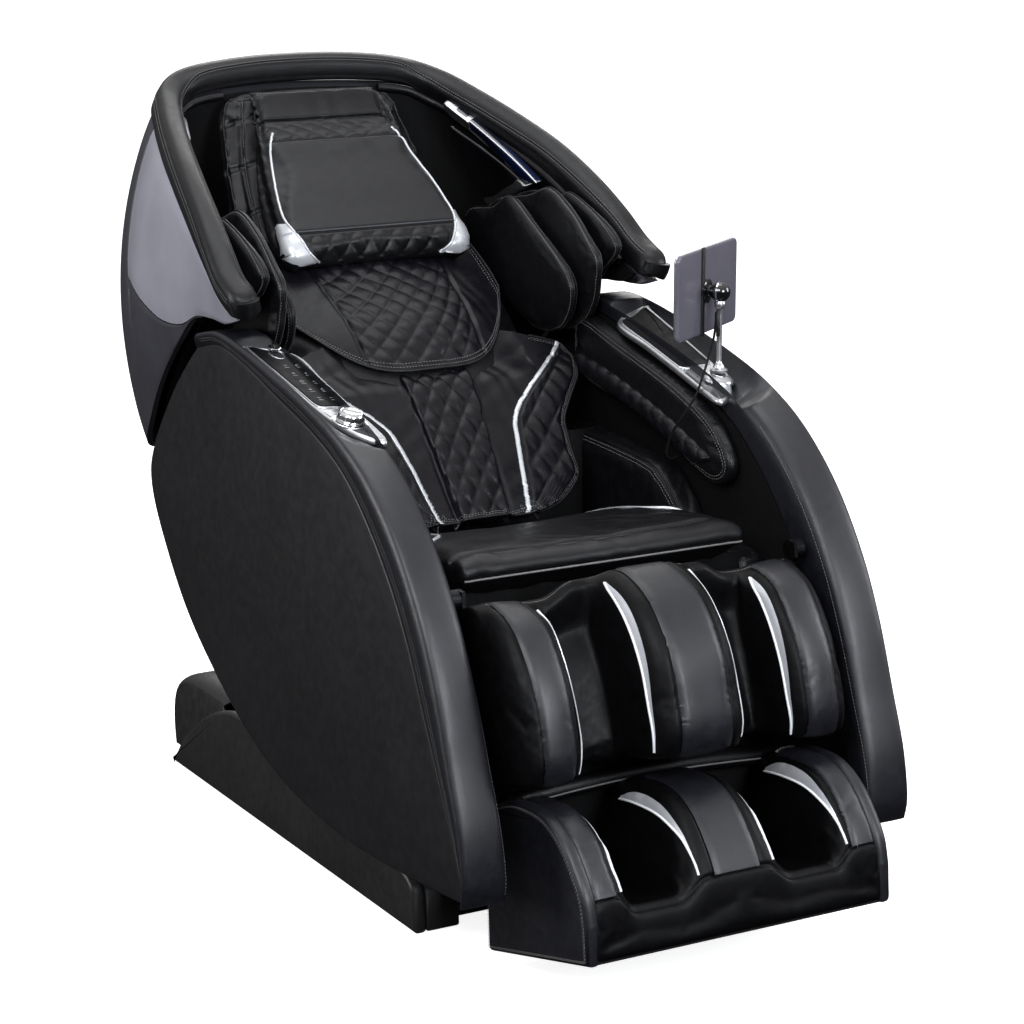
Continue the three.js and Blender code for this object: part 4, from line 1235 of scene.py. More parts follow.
def arm_quilt(name, side):
    """The long quilted pad under the console."""
    t = np.linspace(0, 1, 120)
    low, high = Curve(QUILT_LOW)(t), Curve(QUILT_HIGH)(t)
    share = np.linspace(0, 1, 34)
    yz = low[:, None] * (1 - share[:, None]) + high[:, None] * share[:, None]
    round_off = np.sqrt(np.clip(1 - np.abs(2 * share - 1) ** 2.4, 0, 1))
    ends = np.sqrt(np.clip(np.minimum(t, 1 - t) / 0.06, 0, 1))
    x = 0.302 - 0.022 * round_off[None] * ends[:, None]
    grid = np.dstack([x * side, yz])
    if side > 0:
        grid = grid[:, ::-1]
    chart = Chart(grid)
    obj = piece(f"{name}_quilted_pad", *slab(grid, 0.012), QUILT, "carriage", "quilt",
                [f"{name}_arm_upper_pad"], 60)
    _, v, a, b, side_of = chart.locate(coords(obj))
    quilt(obj, a, b, (side_of > -0.003) * ends_mask(v, 0.03), (0.042, 0.037), 0.0026)
    rim = np.column_stack([np.full(120, 0.3015 * side), low])
    tube(f"{name}_quilt_piping", rim, 0.0019, LEATHER, "carriage", "leather", 8)
    stitch("carriage", rim + (-side * 0.0015, 0, 0.0032), np.broadcast_to((-side, 0, 0.2), rim.shape),
           radius=0.0005)


def ends_mask(v, width):
    return smoothstep(np.minimum(v, 1 - v), 0, width)


def finish_arm_inside(parts):
    name, side, tongue, edge, thigh, rim = parts
    inward = np.array([-side, 0, 0])
    for obj, shape, x, away in ((tongue, edge, 297, 0.011), (thigh, rim, 270, 0.013)):
        skin = Skin(obj)
        for extra in (0, 0.005):
            line = in_plane(inset(shape, away + extra), side * x * MM)
            line = np.vstack([line, line[:1]])
            spots, ways = skin.lay(line, np.broadcast_to(inward, line.shape))
            stitch("carriage", spots, ways, radius=0.0005)
    skin = Skin(thigh)
    line = in_plane(inset(rim, 0.006), side * 272 * MM)
    spots, ways = skin.lay(np.vstack([line, line[:1]]),
                           np.broadcast_to(unit(inward + (0, 0, 0.4)), (len(line) + 1, 3)))
    tube(f"{name}_thigh_piping", spots, 0.0022, LEATHER, "carriage", "leather", 8)


# ---------------------------------------------------------------- seat
SEAT_TOP = mm([[-497, 578], [-503, 590], [-497, 603], [-480, 609], [-458, 607], [-389, 604], [-267, 590],
               [-107, 545],
               [-20, 510], [34, 490]])
SEAT_UNDER = mm([[40, 455], [36, 424], [0, 416], [-200, 450], [-400, 525], [-460, 556], [-488, 571]])


def seat():
    """The seat: a rounded front roll, a sloping top and a soft hollow in the middle."""
    top = Curve(SEAT_TOP)(np.linspace(0, 1, 90))
    under = Curve(SEAT_UNDER)(np.linspace(0, 1, 50))
    half = SEAT_HALF * MM
    f = np.concatenate([[-1, -0.985, -0.95], np.linspace(-0.9, 0.9, 60), [0.95, 0.985, 1]])
    drop = np.array([0.016 * smoothstep(abs(a), 0.9, 1) + 0.008 * (1 - a**2) ** 2 for a in f])
    lie = smoothstep(top[:, 0], -0.47, -0.38)
    rings = []
    for a, d in zip(f, drop):
        upper = top - np.outer(lie * 0.8 + 0.2, (0, d))
        rings.append(in_plane(np.vstack([upper, under]), a * half))
    obj = loft("seat_pad", rings, LEATHER, "carriage", "leather", ["seat_cushion"], 60)
    stuff(obj, 0.006, 5, 5.0, 0.007, lambda p: (p[:, 1] > 0.0) | (p[:, 2] < 0.45))
    return obj


def finish_seat(obj):
    up = np.array([0, -0.3, 1])
    across = np.linspace(-0.252, 0.252, 100)
    seam_line = np.column_stack([across, np.full(100, -0.448), np.full(100, 0.606)])
    path, ways = Skin(obj).lay(seam_line, np.broadcast_to(unit(up), seam_line.shape))
    seam(obj, path, ways, "carriage", (0.005,), 0.007, 0.005)
    under = np.column_stack([across, np.full(100, -0.500), np.full(100, 0.580)])
    path, ways = Skin(obj).lay(under, np.broadcast_to((0, -1, 0), under.shape))
    groove(obj, path, 0.003, 0.003)
    tube("seat_front_piping", path + ways * 0.0005, 0.0016, THREAD, "carriage", "leather", 8)
    for name, side in (("left", 1), ("right", -1)):
        curve = np.array([[237, 164, 481], [231, 47, 489], [207, -129, 528], [189, -286, 582],
                          [205, -312, 586],
                          [247, -352, 596], [256, -400, 602]]) * MM * (side, 1, 1)
        curve = Curve(curve, True)(np.linspace(0, 1, 160))
        path, ways = Skin(obj).lay(curve, np.broadcast_to((0, 0, 1), curve.shape))
        groove(obj, path, 0.004, 0.003)
        ribbon(f"{name}_seat_piping", path, ways, 0.006, 0.0022, SILVER, "carriage", "leather")
    creases(obj, 0.0011, 38, lambda p: smoothstep(p[:, 2], 0.47, 0.55))
    # Dark lining sheets in the gaps under the seat front and behind the seat: painted shade, standing where
    # those gaps lie in shadow.
    for name, y, low, high in (("seat_front_shade_sheet", -0.452, 0.44, 0.552),
                               ("seat_rear_shade_sheet", 0.030, 0.43, 0.66)):
        t, x = np.meshgrid(np.linspace(low, high, 24), np.linspace(-0.30, 0.30, 60), indexing="ij")
        cloth = np.dstack([x, y + 0.003 * np.sin(x * 90) + 0.2 * np.maximum(0, t - 0.6), t])
        piece(name, *slab(cloth, 0.003), LINING, "carriage", "lining", (), 60)


def creases(obj, depth, scale, where):
    """Soft random gathers in the leather, from a few crossing waves."""
    co, no = coords(obj), vertex_normals(obj)
    wave = np.zeros(len(co))
    for k, (ax, ay, az) in enumerate(((1, 0.4, 0.2), (-0.6, 1, 0.5), (0.3, -0.8, 1), (1, 1, -0.7))):
        phase = (co @ np.array([ax, ay, az])) * scale * (1 + 0.37 * k)
        wave += np.sin(phase + 1.9 * k + 2.2 * np.sin(phase * 0.31 + k))
    set_coords(obj, co + no * (depth * wave / 2 * where(co))[:, None])


# ---------------------------------------------------------------- back, lumbar cover, apron
BACK_EDGE = mm([[20, 640], [90, 700], [195, 795], [285, 872], [365, 945], [432, 1025], [505, 1115],
                [558, 1200],
                [572, 1222]])
BACK_HALF = mm([[172, 40], [215, 52], [245, 66], [250, 44], [240, 22], [215, 12], [196, 12], [172, 10],
                [120, 2]])


def back_grid(t, f, rise=0.0):
    """Points on the back's surface: t goes up it, f runs -1..1 across; both are grids."""
    edge, size = Curve(BACK_EDGE), Curve(BACK_HALF)
    t = np.clip(t, 0, 1)
    way = unit(edge(np.minimum(1, t + 0.01)) - edge(np.maximum(0, t - 0.01)))
    half, crown = size(t)[..., 0], size(t)[..., 1]
    out = crown * (1 - f**2) + rise
    y = edge(t)[..., 0] - way[..., 1] * out
    z = edge(t)[..., 1] + way[..., 0] * out
    return np.stack([half * f, y, z], -1)


def back():
    t, f = np.meshgrid(np.linspace(0, 1, 110), np.linspace(-1, 1, 80), indexing="ij")
    grid = back_grid(t, f)
    chart = Chart(grid)
    obj = piece("back_padding", *slab(grid, 0.028), LEATHER, "backrest", "leather", ["back_pad"], 60)
    stuff(obj, 0.007, 5, 4.0, 0.008, lambda p: chart.locate(p)[4] < -0.018)
    return obj, chart


def finish_back(obj, chart):
    for x, low, high in ((0.118, 0.42, 0.97), (-0.118, 0.42, 0.97), (0.168, 0.5, 0.9), (-0.168, 0.5, 0.9)):
        path, ways = chart.line(Skin(obj), [(x * 1.1, low), (x, (low + high) / 2), (x * 0.8, high)])
        seam(obj, path, ways, "backrest", (0.004,), 0.005, 0.004)
    for v in (0.62, 0.72, 0.82, 0.91):
        wide = float(np.interp(v, np.linspace(0, 1, 9), BACK_HALF[:, 0])) * 0.97
        path, ways = chart.line(Skin(obj), [(-wide, v), (-wide * 0.5, v + 0.008), (0, v),
                                            (wide * 0.5, v + 0.008),
                                            (wide, v)])
        groove(obj, path, 0.005, 0.005)
    rim = np.vstack([chart.points[40:, 2], chart.points[-1, 2:-2], chart.points[40:, -3][::-1]])
    path, ways = Skin(obj).lay(rim, np.broadcast_to(unit(np.array([0, -0.7, 0.7])), rim.shape))
    tube("back_piping", path, 0.0022, LEATHER, "backrest", "leather", 8)
    creases(obj, 0.0013, 60, lambda p: smoothstep(p[:, 2], 0.95, 1.0))


LUMBAR_CREST = Curve(mm([[-101, 561], [-14, 668], [60, 752], [100, 792], [150, 838]]))
LUMBAR_EDGE = ((0.5600, 0.100), (0.566, 0.140), (0.58, 0.168), (0.607, 0.206), (0.64, 0.205), (0.69, 0.212),
               (0.72, 0.240), (0.75, 0.272), (0.785, 0.288), (0.81, 0.276), (0.838, 0.17))
SILVER_LINE = ((0.560, 0.084), (0.60, 0.094), (0.66, 0.108), (0.70, 0.120), (0.725, 0.145), (0.77, 0.215),
               (0.80, 0.262),
               (0.838, 0.30))


def lumbar_grid(rise=0.0, rows=110, cols=210):
    yz = LUMBAR_CREST(np.linspace(0, 1, rows))
    way = unit(np.gradient(yz, axis=0))
    normal = np.column_stack([-way[:, 1], way[:, 0]])
    edge = np.interp(yz[:, 1], *np.array(LUMBAR_EDGE).T)
    f = np.linspace(-1, 1, cols)
    x = edge[:, None] * f
    silver = np.interp(yz[:, 1], *np.array(SILVER_LINE).T)[:, None]
    centre = np.interp(yz[:, 1], (0.56, 0.79), (0.052, 0.076))[:, None]
    proud = 0.010 * smoothstep(centre - np.abs(x), 0, 0.012)
    wing = 0.009 * smoothstep(np.abs(x) - silver, -0.001, 0.012) * smoothstep(edge[:, None] - np.abs(x), 0,
                                                                              0.016)
    tuck = 0.014 * smoothstep(yz[:, 1], 0.755, 0.80)[:, None]
    out = proud + wing - tuck + rise
    return np.dstack([x, yz[:, :1] + normal[:, :1] * out, yz[:, 1:] + normal[:, 1:] * out])


LUMBAR_BLEND = ("carriage", "backrest", (0, -0.08, 0.58), (0, 0.08, 0.75))


def blend_lumbar(obj):
    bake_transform(obj)


def lumbar():
    grid = lumbar_grid()
    chart = Chart(grid)
    obj = piece("lumbar_cover", *slab(grid, 0.016), QUILT, None, "quilt", ["lumbar_flap"], 60)
    co = coords(obj)
    _, v, a, b, side = chart.locate(co)
    x, z = np.abs(co[:, 0]), co[:, 2]
    silver = np.interp(z, *np.array(SILVER_LINE).T)
    centre = np.interp(z, (0.56, 0.79), (0.052, 0.076))
    edge = np.interp(z, *np.array(LUMBAR_EDGE).T)
    front = side > -0.003
    middle = smoothstep(centre - x, 0.002, 0.008)
    wings = smoothstep(x - silver, 0.006, 0.012) * smoothstep(edge - x, 0.003, 0.010)
    ends = ends_mask(v, 0.02)
    quilt(obj, a, b, front * middle * ends, (0.040, 0.056), 0.0052)
    quilt(obj, a, b, front * wings * ends, (0.040, 0.056), 0.0045)
    for sign in (-1, 1):
        places = [(sign * np.interp(s, (0, 1), (0.052, 0.076)), s * 0.86) for s in (0, 0.33, 0.66, 1)]
        path, _ = chart.line(Skin(obj), places)
        groove(obj, path, 0.0035, 0.004)
    creases(obj, 0.0009, 70, lambda p: (np.abs(p[:, 0]) < 0.2) * 1.0)
    skin = Skin(obj)
    rows = np.linspace(0, 1, 110)
    for name, sign in (("left", 1), ("right", -1)):
        zs = LUMBAR_CREST(rows)[:, 1]
        places = [(sign * float(np.interp(zs[i], *np.array(SILVER_LINE).T)), rows[i]) for i in range(0, 93,
                                                                                                     7)]
        path, ways = chart.line(skin, places, 160)
        blend_lumbar(ribbon(f"{name}_lumbar_strip", path, ways, 0.0085, 0.0026, SILVER, None, "leather"))
    rim = soften(np.vstack([grid[:100, 0][::-1], grid[0, 1:-1], grid[:100, -1]]))
    normals = soften(np.vstack([chart.normals[:100, 1][::-1], chart.normals[1, 1:-1],
                                chart.normals[:100, -2]]))
    blend_lumbar(tube("lumbar_piping", even(rim, 0.003), 0.0024, LEATHER, None, "leather", 8))
    aside = unit(np.cross(unit(np.gradient(rim, axis=0)), normals))
    for off in (-0.0045, -0.008, 0.0045, 0.008):
        spots, ways = skin.lay(rim + aside * off, normals, 0.02)
        inside_it = np.linalg.norm(spots - (rim + aside * off), axis=1) < 0.004
        if inside_it.mean() > 0.6:
            stitch("lumbar", spots, ways, radius=0.0005)
    blend_lumbar(obj)


APRON_HALF = 0.226


def apron():
    f = np.linspace(-1, 1, 150)
    low = 0.170 + 0.19 * np.abs(f) ** 3.2
    share = np.linspace(0, 1, 120)[:, None]
    t = low + (0.53 - low) * share
    size = Curve(BACK_HALF)(t)[..., 0]
    x = APRON_HALF * f * (1 - 0.13 * share**2)
    across = np.clip(x / size, -1, 1)
    grid = back_grid(t, across, 0.017)
    grid[..., 0] = x
    chart = Chart(grid)
    obj = piece("apron_cover", *slab(grid, 0.009), QUILT, "backrest", "quilt", ["back_apron"], 60)
    co = coords(obj)
    _, v, a, b, side = chart.locate(co)
    wide = np.interp(v, (0, 1), (0.114, 0.136))
    front = side > -0.003
    quilt(obj, a, b, front * smoothstep(wide - np.abs(co[:, 0]), 0.001, 0.006) * smoothstep(v, 0.02, 0.06),
          (0.044, 0.046), 0.0042)
    for sign in (-1, 1):
        path, ways = chart.line(Skin(obj), [(sign * 0.114, 0.0), (sign * 0.124, 0.5), (sign * 0.136, 1.0)])
        groove(obj, path, 0.003, 0.0045)
    creases(obj, 0.0010, 55, lambda p: np.ones(len(p)))
    rim = soften(np.vstack([grid[::-1, 0], grid[0, 1:-1], grid[:, -1]]), 12)
    tube("apron_piping", even(rim, 0.003), 0.0022, LEATHER, "backrest", "leather", 8)
    skin = Skin(obj)
    for inward in (2, 4):
        line = np.vstack([grid[:inward:-1, inward], grid[inward, inward:-inward],
                          grid[inward + 1:, -1 - inward]])
        ways = np.vstack([chart.normals[:inward:-1, inward], chart.normals[inward, inward:-inward],
                          chart.normals[inward + 1:, -1 - inward]])
        line, ways = soften(line, 12), soften(ways, 12)
        spots, ways = skin.lay(line, ways, 0.02)
        stitch("backrest", spots, ways, radius=0.00055)


# ---------------------------------------------------------------- pillow
PILLOW_FRONT = mm([[318, 944], [294, 934], [276, 944], [271, 962], [278, 980], [297, 999], [333, 1031],
                   [372, 1067],
                   [412, 1103], [449, 1139], [474, 1155], [498, 1168], [516, 1190], [532, 1216], [541, 1229]])
PILLOW_BACK = mm([[551, 1222], [531, 1188], [511, 1158], [468, 1106], [424, 1055], [384, 1012], [345, 972]])
PILLOW_HALF = ((0.934, 0.160), (0.945, 0.176), (0.962, 0.184), (0.994, 0.188), (1.03, 0.180), (1.068, 0.170),
               (1.14, 0.146), (1.168, 0.134), (1.229, 0.130))


def pillow():
    front = Curve(PILLOW_FRONT)(np.linspace(0, 1, 130))
    rear = Curve(PILLOW_BACK)(np.linspace(0, 1, 60))
    ring = np.vstack([front, rear])
    half = np.interp(ring[:, 1], *np.array(PILLOW_HALF).T)
    f = np.concatenate([[-1, -0.985, -0.955], np.linspace(-0.91, 0.91, 90), [0.955, 0.985, 1]])
    body = []
    for a in f:
        pinch = 0.010 * smoothstep(abs(a), 0.9, 1.0)
        yz = ring.copy()
        yz[:130] += np.array([0.7, -0.7]) * pinch
        yz[130:] += np.array([-0.7, 0.7]) * pinch
        body.append(np.column_stack([half * a, yz]))
    obj = loft("head_cushion", body, LEATHER, "head_pillow", "leather", ["pillow"], 60)
    grid = np.stack(body, 1)[:130]
    chart = Chart(grid)
    stuff(obj, 0.005, 4, 4.0, 0.006, lambda p: (chart.locate(p)[4] < -0.02) * 1.0)
    return obj, chart


def pillow_v(z):
    """The share of the way up the pillow's front at a height."""
    path = Curve(PILLOW_FRONT)(np.linspace(0, 1, 130))
    rising = np.maximum.accumulate(np.where(np.arange(130) < 12, -1, path[:, 1]))
    return float(np.interp(z, rising, np.linspace(0, 1, 130)))


PIPING_LINE = ((0.118, 1.150), (0.134, 1.128), (0.150, 1.085), (0.160, 1.045), (0.161, 1.015), (0.153, 0.992),
               (0.138, 0.968), (0.118, 0.948))


def finish_pillow(obj, chart):
    co = coords(obj)
    _, v, a, b, side = chart.locate(co)
    front = side > -0.006
    band = smoothstep(co[:, 2], 0.940, 0.946) * smoothstep(0.999 - co[:, 2], 0.001, 0.005) * (co[:, 1] < 0.31)
    row = smoothstep(v, pillow_v(1.138), pillow_v(1.142)) * smoothstep(-v, -pillow_v(1.163), -pillow_v(1.160))
    limit = np.interp(co[:, 2], (0.945, 0.97, 1.0), (0.128, 0.144, 0.156))
    quilt(obj, a, b, front * band * smoothstep(limit - np.abs(co[:, 0]), 0, 0.006), (0.040, 0.060), 0.0042)
    quilt(obj, a, b, front * row * smoothstep(0.128 - np.abs(co[:, 0]), 0, 0.006), (0.038, 0.034), 0.003)
    for z, wide, rows, depth in ((0.999, 0.154, (), 0.004), (1.139, 0.132, (0.003,), 0.003),
                                 (1.170, 0.132, (), 0.008), (1.218, 0.122, (-0.002, 0.002), 0.001)):
        path, ways = chart.line(Skin(obj), [(-wide, pillow_v(z)), (0, pillow_v(z)), (wide, pillow_v(z))])
        seam(obj, path, ways, "head_pillow", rows, depth)
        if z == 0.999:
            tube("pillow_cross_piping", path + ways * 0.0008, 0.0017, HULL, "head_pillow", "leather", 8)
    creases(obj, 0.0009, 45, lambda p: smoothstep(p[:, 2], 1.10, 1.17))
    for name, sign in (("left", 1), ("right", -1)):
        places = [(sign * x, pillow_v(z)) for x, z in PIPING_LINE]
        path, ways = chart.line(Skin(obj), places, 160)
        tube(f"{name}_pillow_piping", path + ways * 0.0006, 0.0024, SILVER, "head_pillow", "leather", 10)
        inner = [(sign * x, pillow_v(z)) for x, z in PIPING_LINE[4:]]
        outer = [(sign * x, pillow_v(z)) for x, z in ((0.1790, 1.024), (0.185, 0.994), (0.182, 0.966),
                                                      (0.158, 0.947))]
        skin = Skin(obj)
        overlay(f"{name}_pillow_corner", skin, chart.line(skin, inner, 60), chart.line(skin, outer, 60),
                0.0012,
                SILVER, "head_pillow", "leather")


# ---------------------------------------------------------------- shoulder leaves, speakers, light strips
LEAVES = (
    ("inner", 260, 280, [[354, 1017], [288, 1044], [202, 1003], [117, 956], [75, 925], [63, 895], [75, 856],
                         [112, 824],
                         [200, 812], [330, 860], [450, 950], [440, 1000]], "shoulder_bag_inner"),
    ("middle", 291, 311, [[276, 1046], [201, 1066], [127, 1037], [66, 992], [32, 961], [32, 919], [46, 874],
                          [80, 838], [160, 815], [300, 860], [440, 960], [400, 1020]], "shoulder_bag_outer"),
    ("outer", 326, 344, [[229, 1049], [187, 1057], [104, 1032], [40, 999], [24, 970], [62, 934], [120, 908],
                         [300, 960], [400, 1010], [330, 1045]], None),
)


def shoulders(name, side):
    made = []
    for part, x0, x1, outline, node in LEAVES:
        shape = smooth(mm(outline), 110, closed=True)
        low, high = sorted((side * x0 * MM, side * x1 * MM))
        obj = plate(f"{name}_{part}_leaf", shape, low, high, 0.008, LEATHER, "backrest", "leather",
                    [f"{name}_{node}"] if node else [], 4)
        stuff(obj, 0.005, 4, 3.0, 0.004, None)
        made.append((obj, name, part, shape, side, (x0 + x1) / 2, (x1 - x0) / 2))
    return made


def finish_leaf(obj, name, part, shape, side, x, half):
    """Piping round a leaf's edge and a row of threads on each of its faces."""
    edge = in_plane(shape, side * x * MM)
    edge = np.vstack([edge, edge[:1]])
    outwards = in_plane(inset(shape, -0.01) - shape, 0.0)
    outwards = unit(np.vstack([outwards, outwards[:1]]))
    spots, ways = Skin(obj).lay(edge, outwards, 0.02)
    tube(f"{name}_{part}_leaf_piping", spots, 0.0021, LEATHER, "backrest", "leather", 8)
    for face in (-1, 1):
        line = in_plane(inset(shape, 0.0055), side * (x + face * half) * MM)
        line = np.vstack([line, line[:1]])
        spots, ways = Skin(obj).lay(line, np.broadcast_to((face * side, 0, 0), line.shape), 0.02)
        stitch("backrest", spots, ways, radius=0.0005)


def hood_plate(name, outline, layers, look, slot, stands_for=(), other_side=False, lean=0):
    """A rounded plate inside the hood: each layer is (scale, depth), and lean deepens it to the front."""
    uv = smooth(np.array(outline), 90, closed=True)
    centre = uv.mean(0)
    rings = []
    for scale, depth in layers:
        at = centre + (uv - centre) * scale
        deep = (depth + lean * (0.315 - at[:, 0])) * MM
        u = 1 - at[:, 0] if other_side else at[:, 0]
        point, out, _ = hood_frame(u, at[:, 1])
        rings.append(point - out * deep[:, None])
    return loft(name, rings, look, "backrest", slot, stands_for, 50)


SPEAKER = [[0.330, 0.895], [0.300, 0.872], [0.262, 0.828], [0.233, 0.775], [0.231, 0.735], [0.256, 0.665],
           [0.282, 0.612], [0.300, 0.61], [0.318, 0.70], [0.334, 0.80], [0.339, 0.87]]
SPEAKER_TRIM = [[0.236, 0.77], [0.227, 0.765], [0.226, 0.735], [0.254, 0.655], [0.282, 0.595], [0.302, 0.600],
                [0.306, 0.63], [0.288, 0.640], [0.262, 0.690], [0.244, 0.735]]
STRIP = [[0.315, 0.980], [0.290, 0.967], [0.250, 0.925], [0.210, 0.865], [0.199, 0.845], [0.207, 0.812],
         [0.225, 0.790], [0.260, 0.855], [0.300, 0.915], [0.322, 0.945]]
STRIP_CAP = [[0.326, 0.985], [0.300, 0.974], [0.292, 0.966], [0.297, 0.925], [0.306, 0.925], [0.330, 0.948]]
STRIP_LEAN = 148


def sound_and_light():
    for name, other in (("left", False), ("right", True)):
        hood_plate(f"{name}_speaker_body", SPEAKER,
                   [(1.0, 40), (1.0, 56), (0.97, 60), (0.90, 62), (0.6, 62.5)],
                   GLASS, "plastic", [f"{name}_speaker"], other, 60)
        hood_plate(f"{name}_speaker_trim", SPEAKER_TRIM, [(1.0, 42), (1.0, 60), (0.97, 63), (0.9, 64)], SATIN,
                   "satin", (), other, 60)
        hood_plate(f"{name}_strip_glass", STRIP, [(1.0, 42), (1.0, 52), (0.97, 55), (0.9, 56)], NIGHT,
                   "gloss",
                   [f"{name}_light_strip"], other, STRIP_LEAN)
        line = Curve(STRIP[:5], True)(np.linspace(0, 1, 60))
        deep = (54 + STRIP_LEAN * (0.315 - line[:, :1])) * MM
        point, out, _ = hood_frame(1 - line[:, 0] if other else line[:, 0], line[:, 1])
        tube(f"{name}_strip_edge", point - out * deep, 0.0012, GLOW, "backrest", "satin", 8)
        hood_plate(f"{name}_strip_cap", STRIP_CAP, [(1.0, 42), (1.0, 56), (0.92, 58.5)], SATIN, "satin", (),
                   other,
                   STRIP_LEAN)
    for name, start in (("left", 0.06), ("right", 0.56)):
        u = np.linspace(start, start + 0.38, 90)
        v = 1 - (RIM_DOWN + 0.012) / rib_length(u)
        point, out, _ = hood_frame(u, v)
        tube(f"{name}_lining_roll", point - out * 0.043, 0.008, LEATHER, "backrest", "leather", 14)


# ---------------------------------------------------------------- calf unit
CALF_CREST = Curve(mm([[-552, 588], [-600, 602], [-660, 586], [-708, 552], [-748, 500], [-772, 440],
                       [-786, 392],
                       [-780, 345]]))
CALF_OUTER = Curve(mm([[-552, 568], [-600, 572], [-652, 556], [-692, 518], [-726, 466], [-748, 410],
                       [-758, 362],
                       [-748, 322]]))
CALF_BACK = Curve(mm([[-530, 520], [-538, 480], [-545, 430], [-552, 400], [-560, 370], [-572, 345],
                      [-590, 322],
                      [-610, 306]]))
# The calf unit's section: (X, share of the way from back to crest).
CALF_SHARES = [(0, 1.0), (30, 1.0), (52, 0.985), (66, 0.94), (76, 0.84), (84, 0.62), (92, 0.44), (108, 0.40),
               (140, 0.40), (168, 0.42), (180, 0.52), (186, 0.74), (194, 0.90), (208, 0.975), (232, 1.0),
               (258, 0.995),
               (274, 0.96), (285, 0.86), (291, 0.70), (291.5, 0.3), (290, 0)]


TOP_FILL = 0.93


def calf():
    half = Curve(mm(CALF_SHARES) * (1, 1000))(np.linspace(0, 1, 150))
    section = np.vstack([half[::-1] * (-1, 1), half[1:]])[::-1]
    t = np.linspace(0, 1, 110)
    crest, outer, rear = CALF_CREST(t), CALF_OUTER(t), CALF_BACK(t)
    mix = smoothstep(np.abs(section[:, 0]), 0.11, 0.17)[None, :, None]
    top = crest[:, None] * (1 - mix) + outer[:, None] * mix
    ends = 1 - 0.35 * smoothstep(0.06 - t, 0, 0.06)[:, None, None] - 0.25 * smoothstep(t, 0.95, 1)[:, None,
                                                                                                   None]
    open_front = smoothstep(t, 0.07, 0.24)[:, None, None]
    share = section[None, :, 1:] * open_front + np.maximum(section[None, :, 1:], TOP_FILL) * (1 - open_front)
    share[:, :12] = section[None, :12, 1:]
    share[:, -12:] = section[None, -12:, 1:]
    share = share * ends
    yz = rear[:, None] * (1 - share) + top * share
    grid = np.dstack([np.broadcast_to(section[:, 0], yz.shape[:2]), yz])
    obj = loft("calf_padding", grid, TROUGH, "legrest", "leather", ["calf_cushion"], 60)
    chart = Chart(grid[:, 20:-20])
    stuff(obj, 0.006, 3, 5.0, 0.006, lambda p: (chart.locate(p)[4] < -0.03) * 1.0)
    return obj, chart


def strip_between(name, obj, chart, xa, xb, v0, v1, look, body, rise=0.0015, steps=14):
    """A panel of leather between two lines that run along a ridge."""
    skin = Skin(obj)
    vs = np.linspace(v0, v1, 12)
    a = chart.line(skin, [(float(np.interp(v, (v0, v1), xa)) if np.ndim(xa) else xa, v) for v in vs], 150)
    b = chart.line(skin, [(float(np.interp(v, (v0, v1), xb)) if np.ndim(xb) else xb, v) for v in vs], 150)
    overlay(name, skin, a, b, rise, look, body, "leather", steps)
    return a, b


def seam_rows(skin, line, group, offsets, rise=0.0):
    path, normals = line
    aside = unit(np.cross(unit(np.gradient(path, axis=0)), normals))
    for off in offsets:
        spots, ways = skin.lay(path + aside * off, normals, 0.02)
        stitch(group, spots + ways * rise, ways, radius=0.0005)


def ridge_dressing(unit_name, obj, chart, body, ridges, walls, v0, v1, v_wall):
    """Strips on the ridges, seams beside them, and silver gussets with bright piping on the trough walls."""
    for i, (x0, x1) in enumerate(ridges):
        path, _ = chart.line(Skin(obj), [(x0, v) for v in np.linspace(v0, v1, 8)], 200)
        groove(obj, path, 0.0035, 0.003)
        path, _ = chart.line(Skin(obj), [(x1, v) for v in np.linspace(v0, v1, 8)], 200)
        groove(obj, path, 0.0035, 0.003)
    for i, (x0, x1) in enumerate(ridges):
        a, b = strip_between(f"{unit_name}_strip_{i}", obj, chart, x0, x1, v0, v1, BAND, body)
        for line, way in ((a, -1), (b, 1)):
            seam_rows(Skin(obj), line, body, (0.0045 * way, 0.008 * way))
    skin = Skin(obj)
    for i, (x_low, x_high) in enumerate(walls):
        vs = np.linspace(v_wall[0], v_wall[1], 10)
        swell = np.array([0.25, 0.8, 1.0, 0.95, 0.8, 0.6, 0.42, 0.28, 0.18, 0.1])
        near = [(x_low, v) for v in vs]
        far = [(x_low + (x_high - x_low) * s, v) for v, s in zip(vs, swell)]
        a = chart.line(skin, near, 120)
        b = chart.line(skin, far, 120)
        overlay(f"{unit_name}_gusset_{i}", skin, a, b, 0.0012, SILVER, body, "leather", 10)
        tube(f"{unit_name}_gusset_piping_{i}", a[0] + a[1] * 0.0012, 0.0020, GLOW, body, "leather", 8)


def finish_calf(obj, chart):
    ridges = ((-0.044, 0.044), (0.206, 0.262), (-0.262, -0.206))
    walls = [(sign * x, sign * y) for sign in (-1, 1) for x, y in ((0.0750, 0.0695), (0.1900, 0.1955))]
    ridge_dressing("calf", obj, chart, "legrest", ridges, walls, 0.10, 0.985, (0.19, 0.93))
    for v in (0.085, 0.105):
        places = [(x, v) for x in np.linspace(-0.27, 0.27, 12)]
        path, ways = chart.line(Skin(obj), places, 200)
        if v < 0.1:
            groove(obj, path, 0.003, 0.0025)
        seam_rows(Skin(obj), (path, ways), "legrest", (0.0,))


# ---------------------------------------------------------------- foot unit
FOOT_RIDGE = Curve(mm([[-612, 262], [-650, 280], [-700, 291], [-762, 292], [-812, 272], [-848, 238],
                       [-872, 205],
                       [-884, 178], [-889, 140], [-889, 102]]))
FOOT_WELL = Curve(mm([[-612, 140], [-650, 128], [-700, 124], [-762, 128], [-812, 142], [-846, 158],
                      [-866, 168],
                      [-882, 160], [-889, 132], [-889, 102]]))
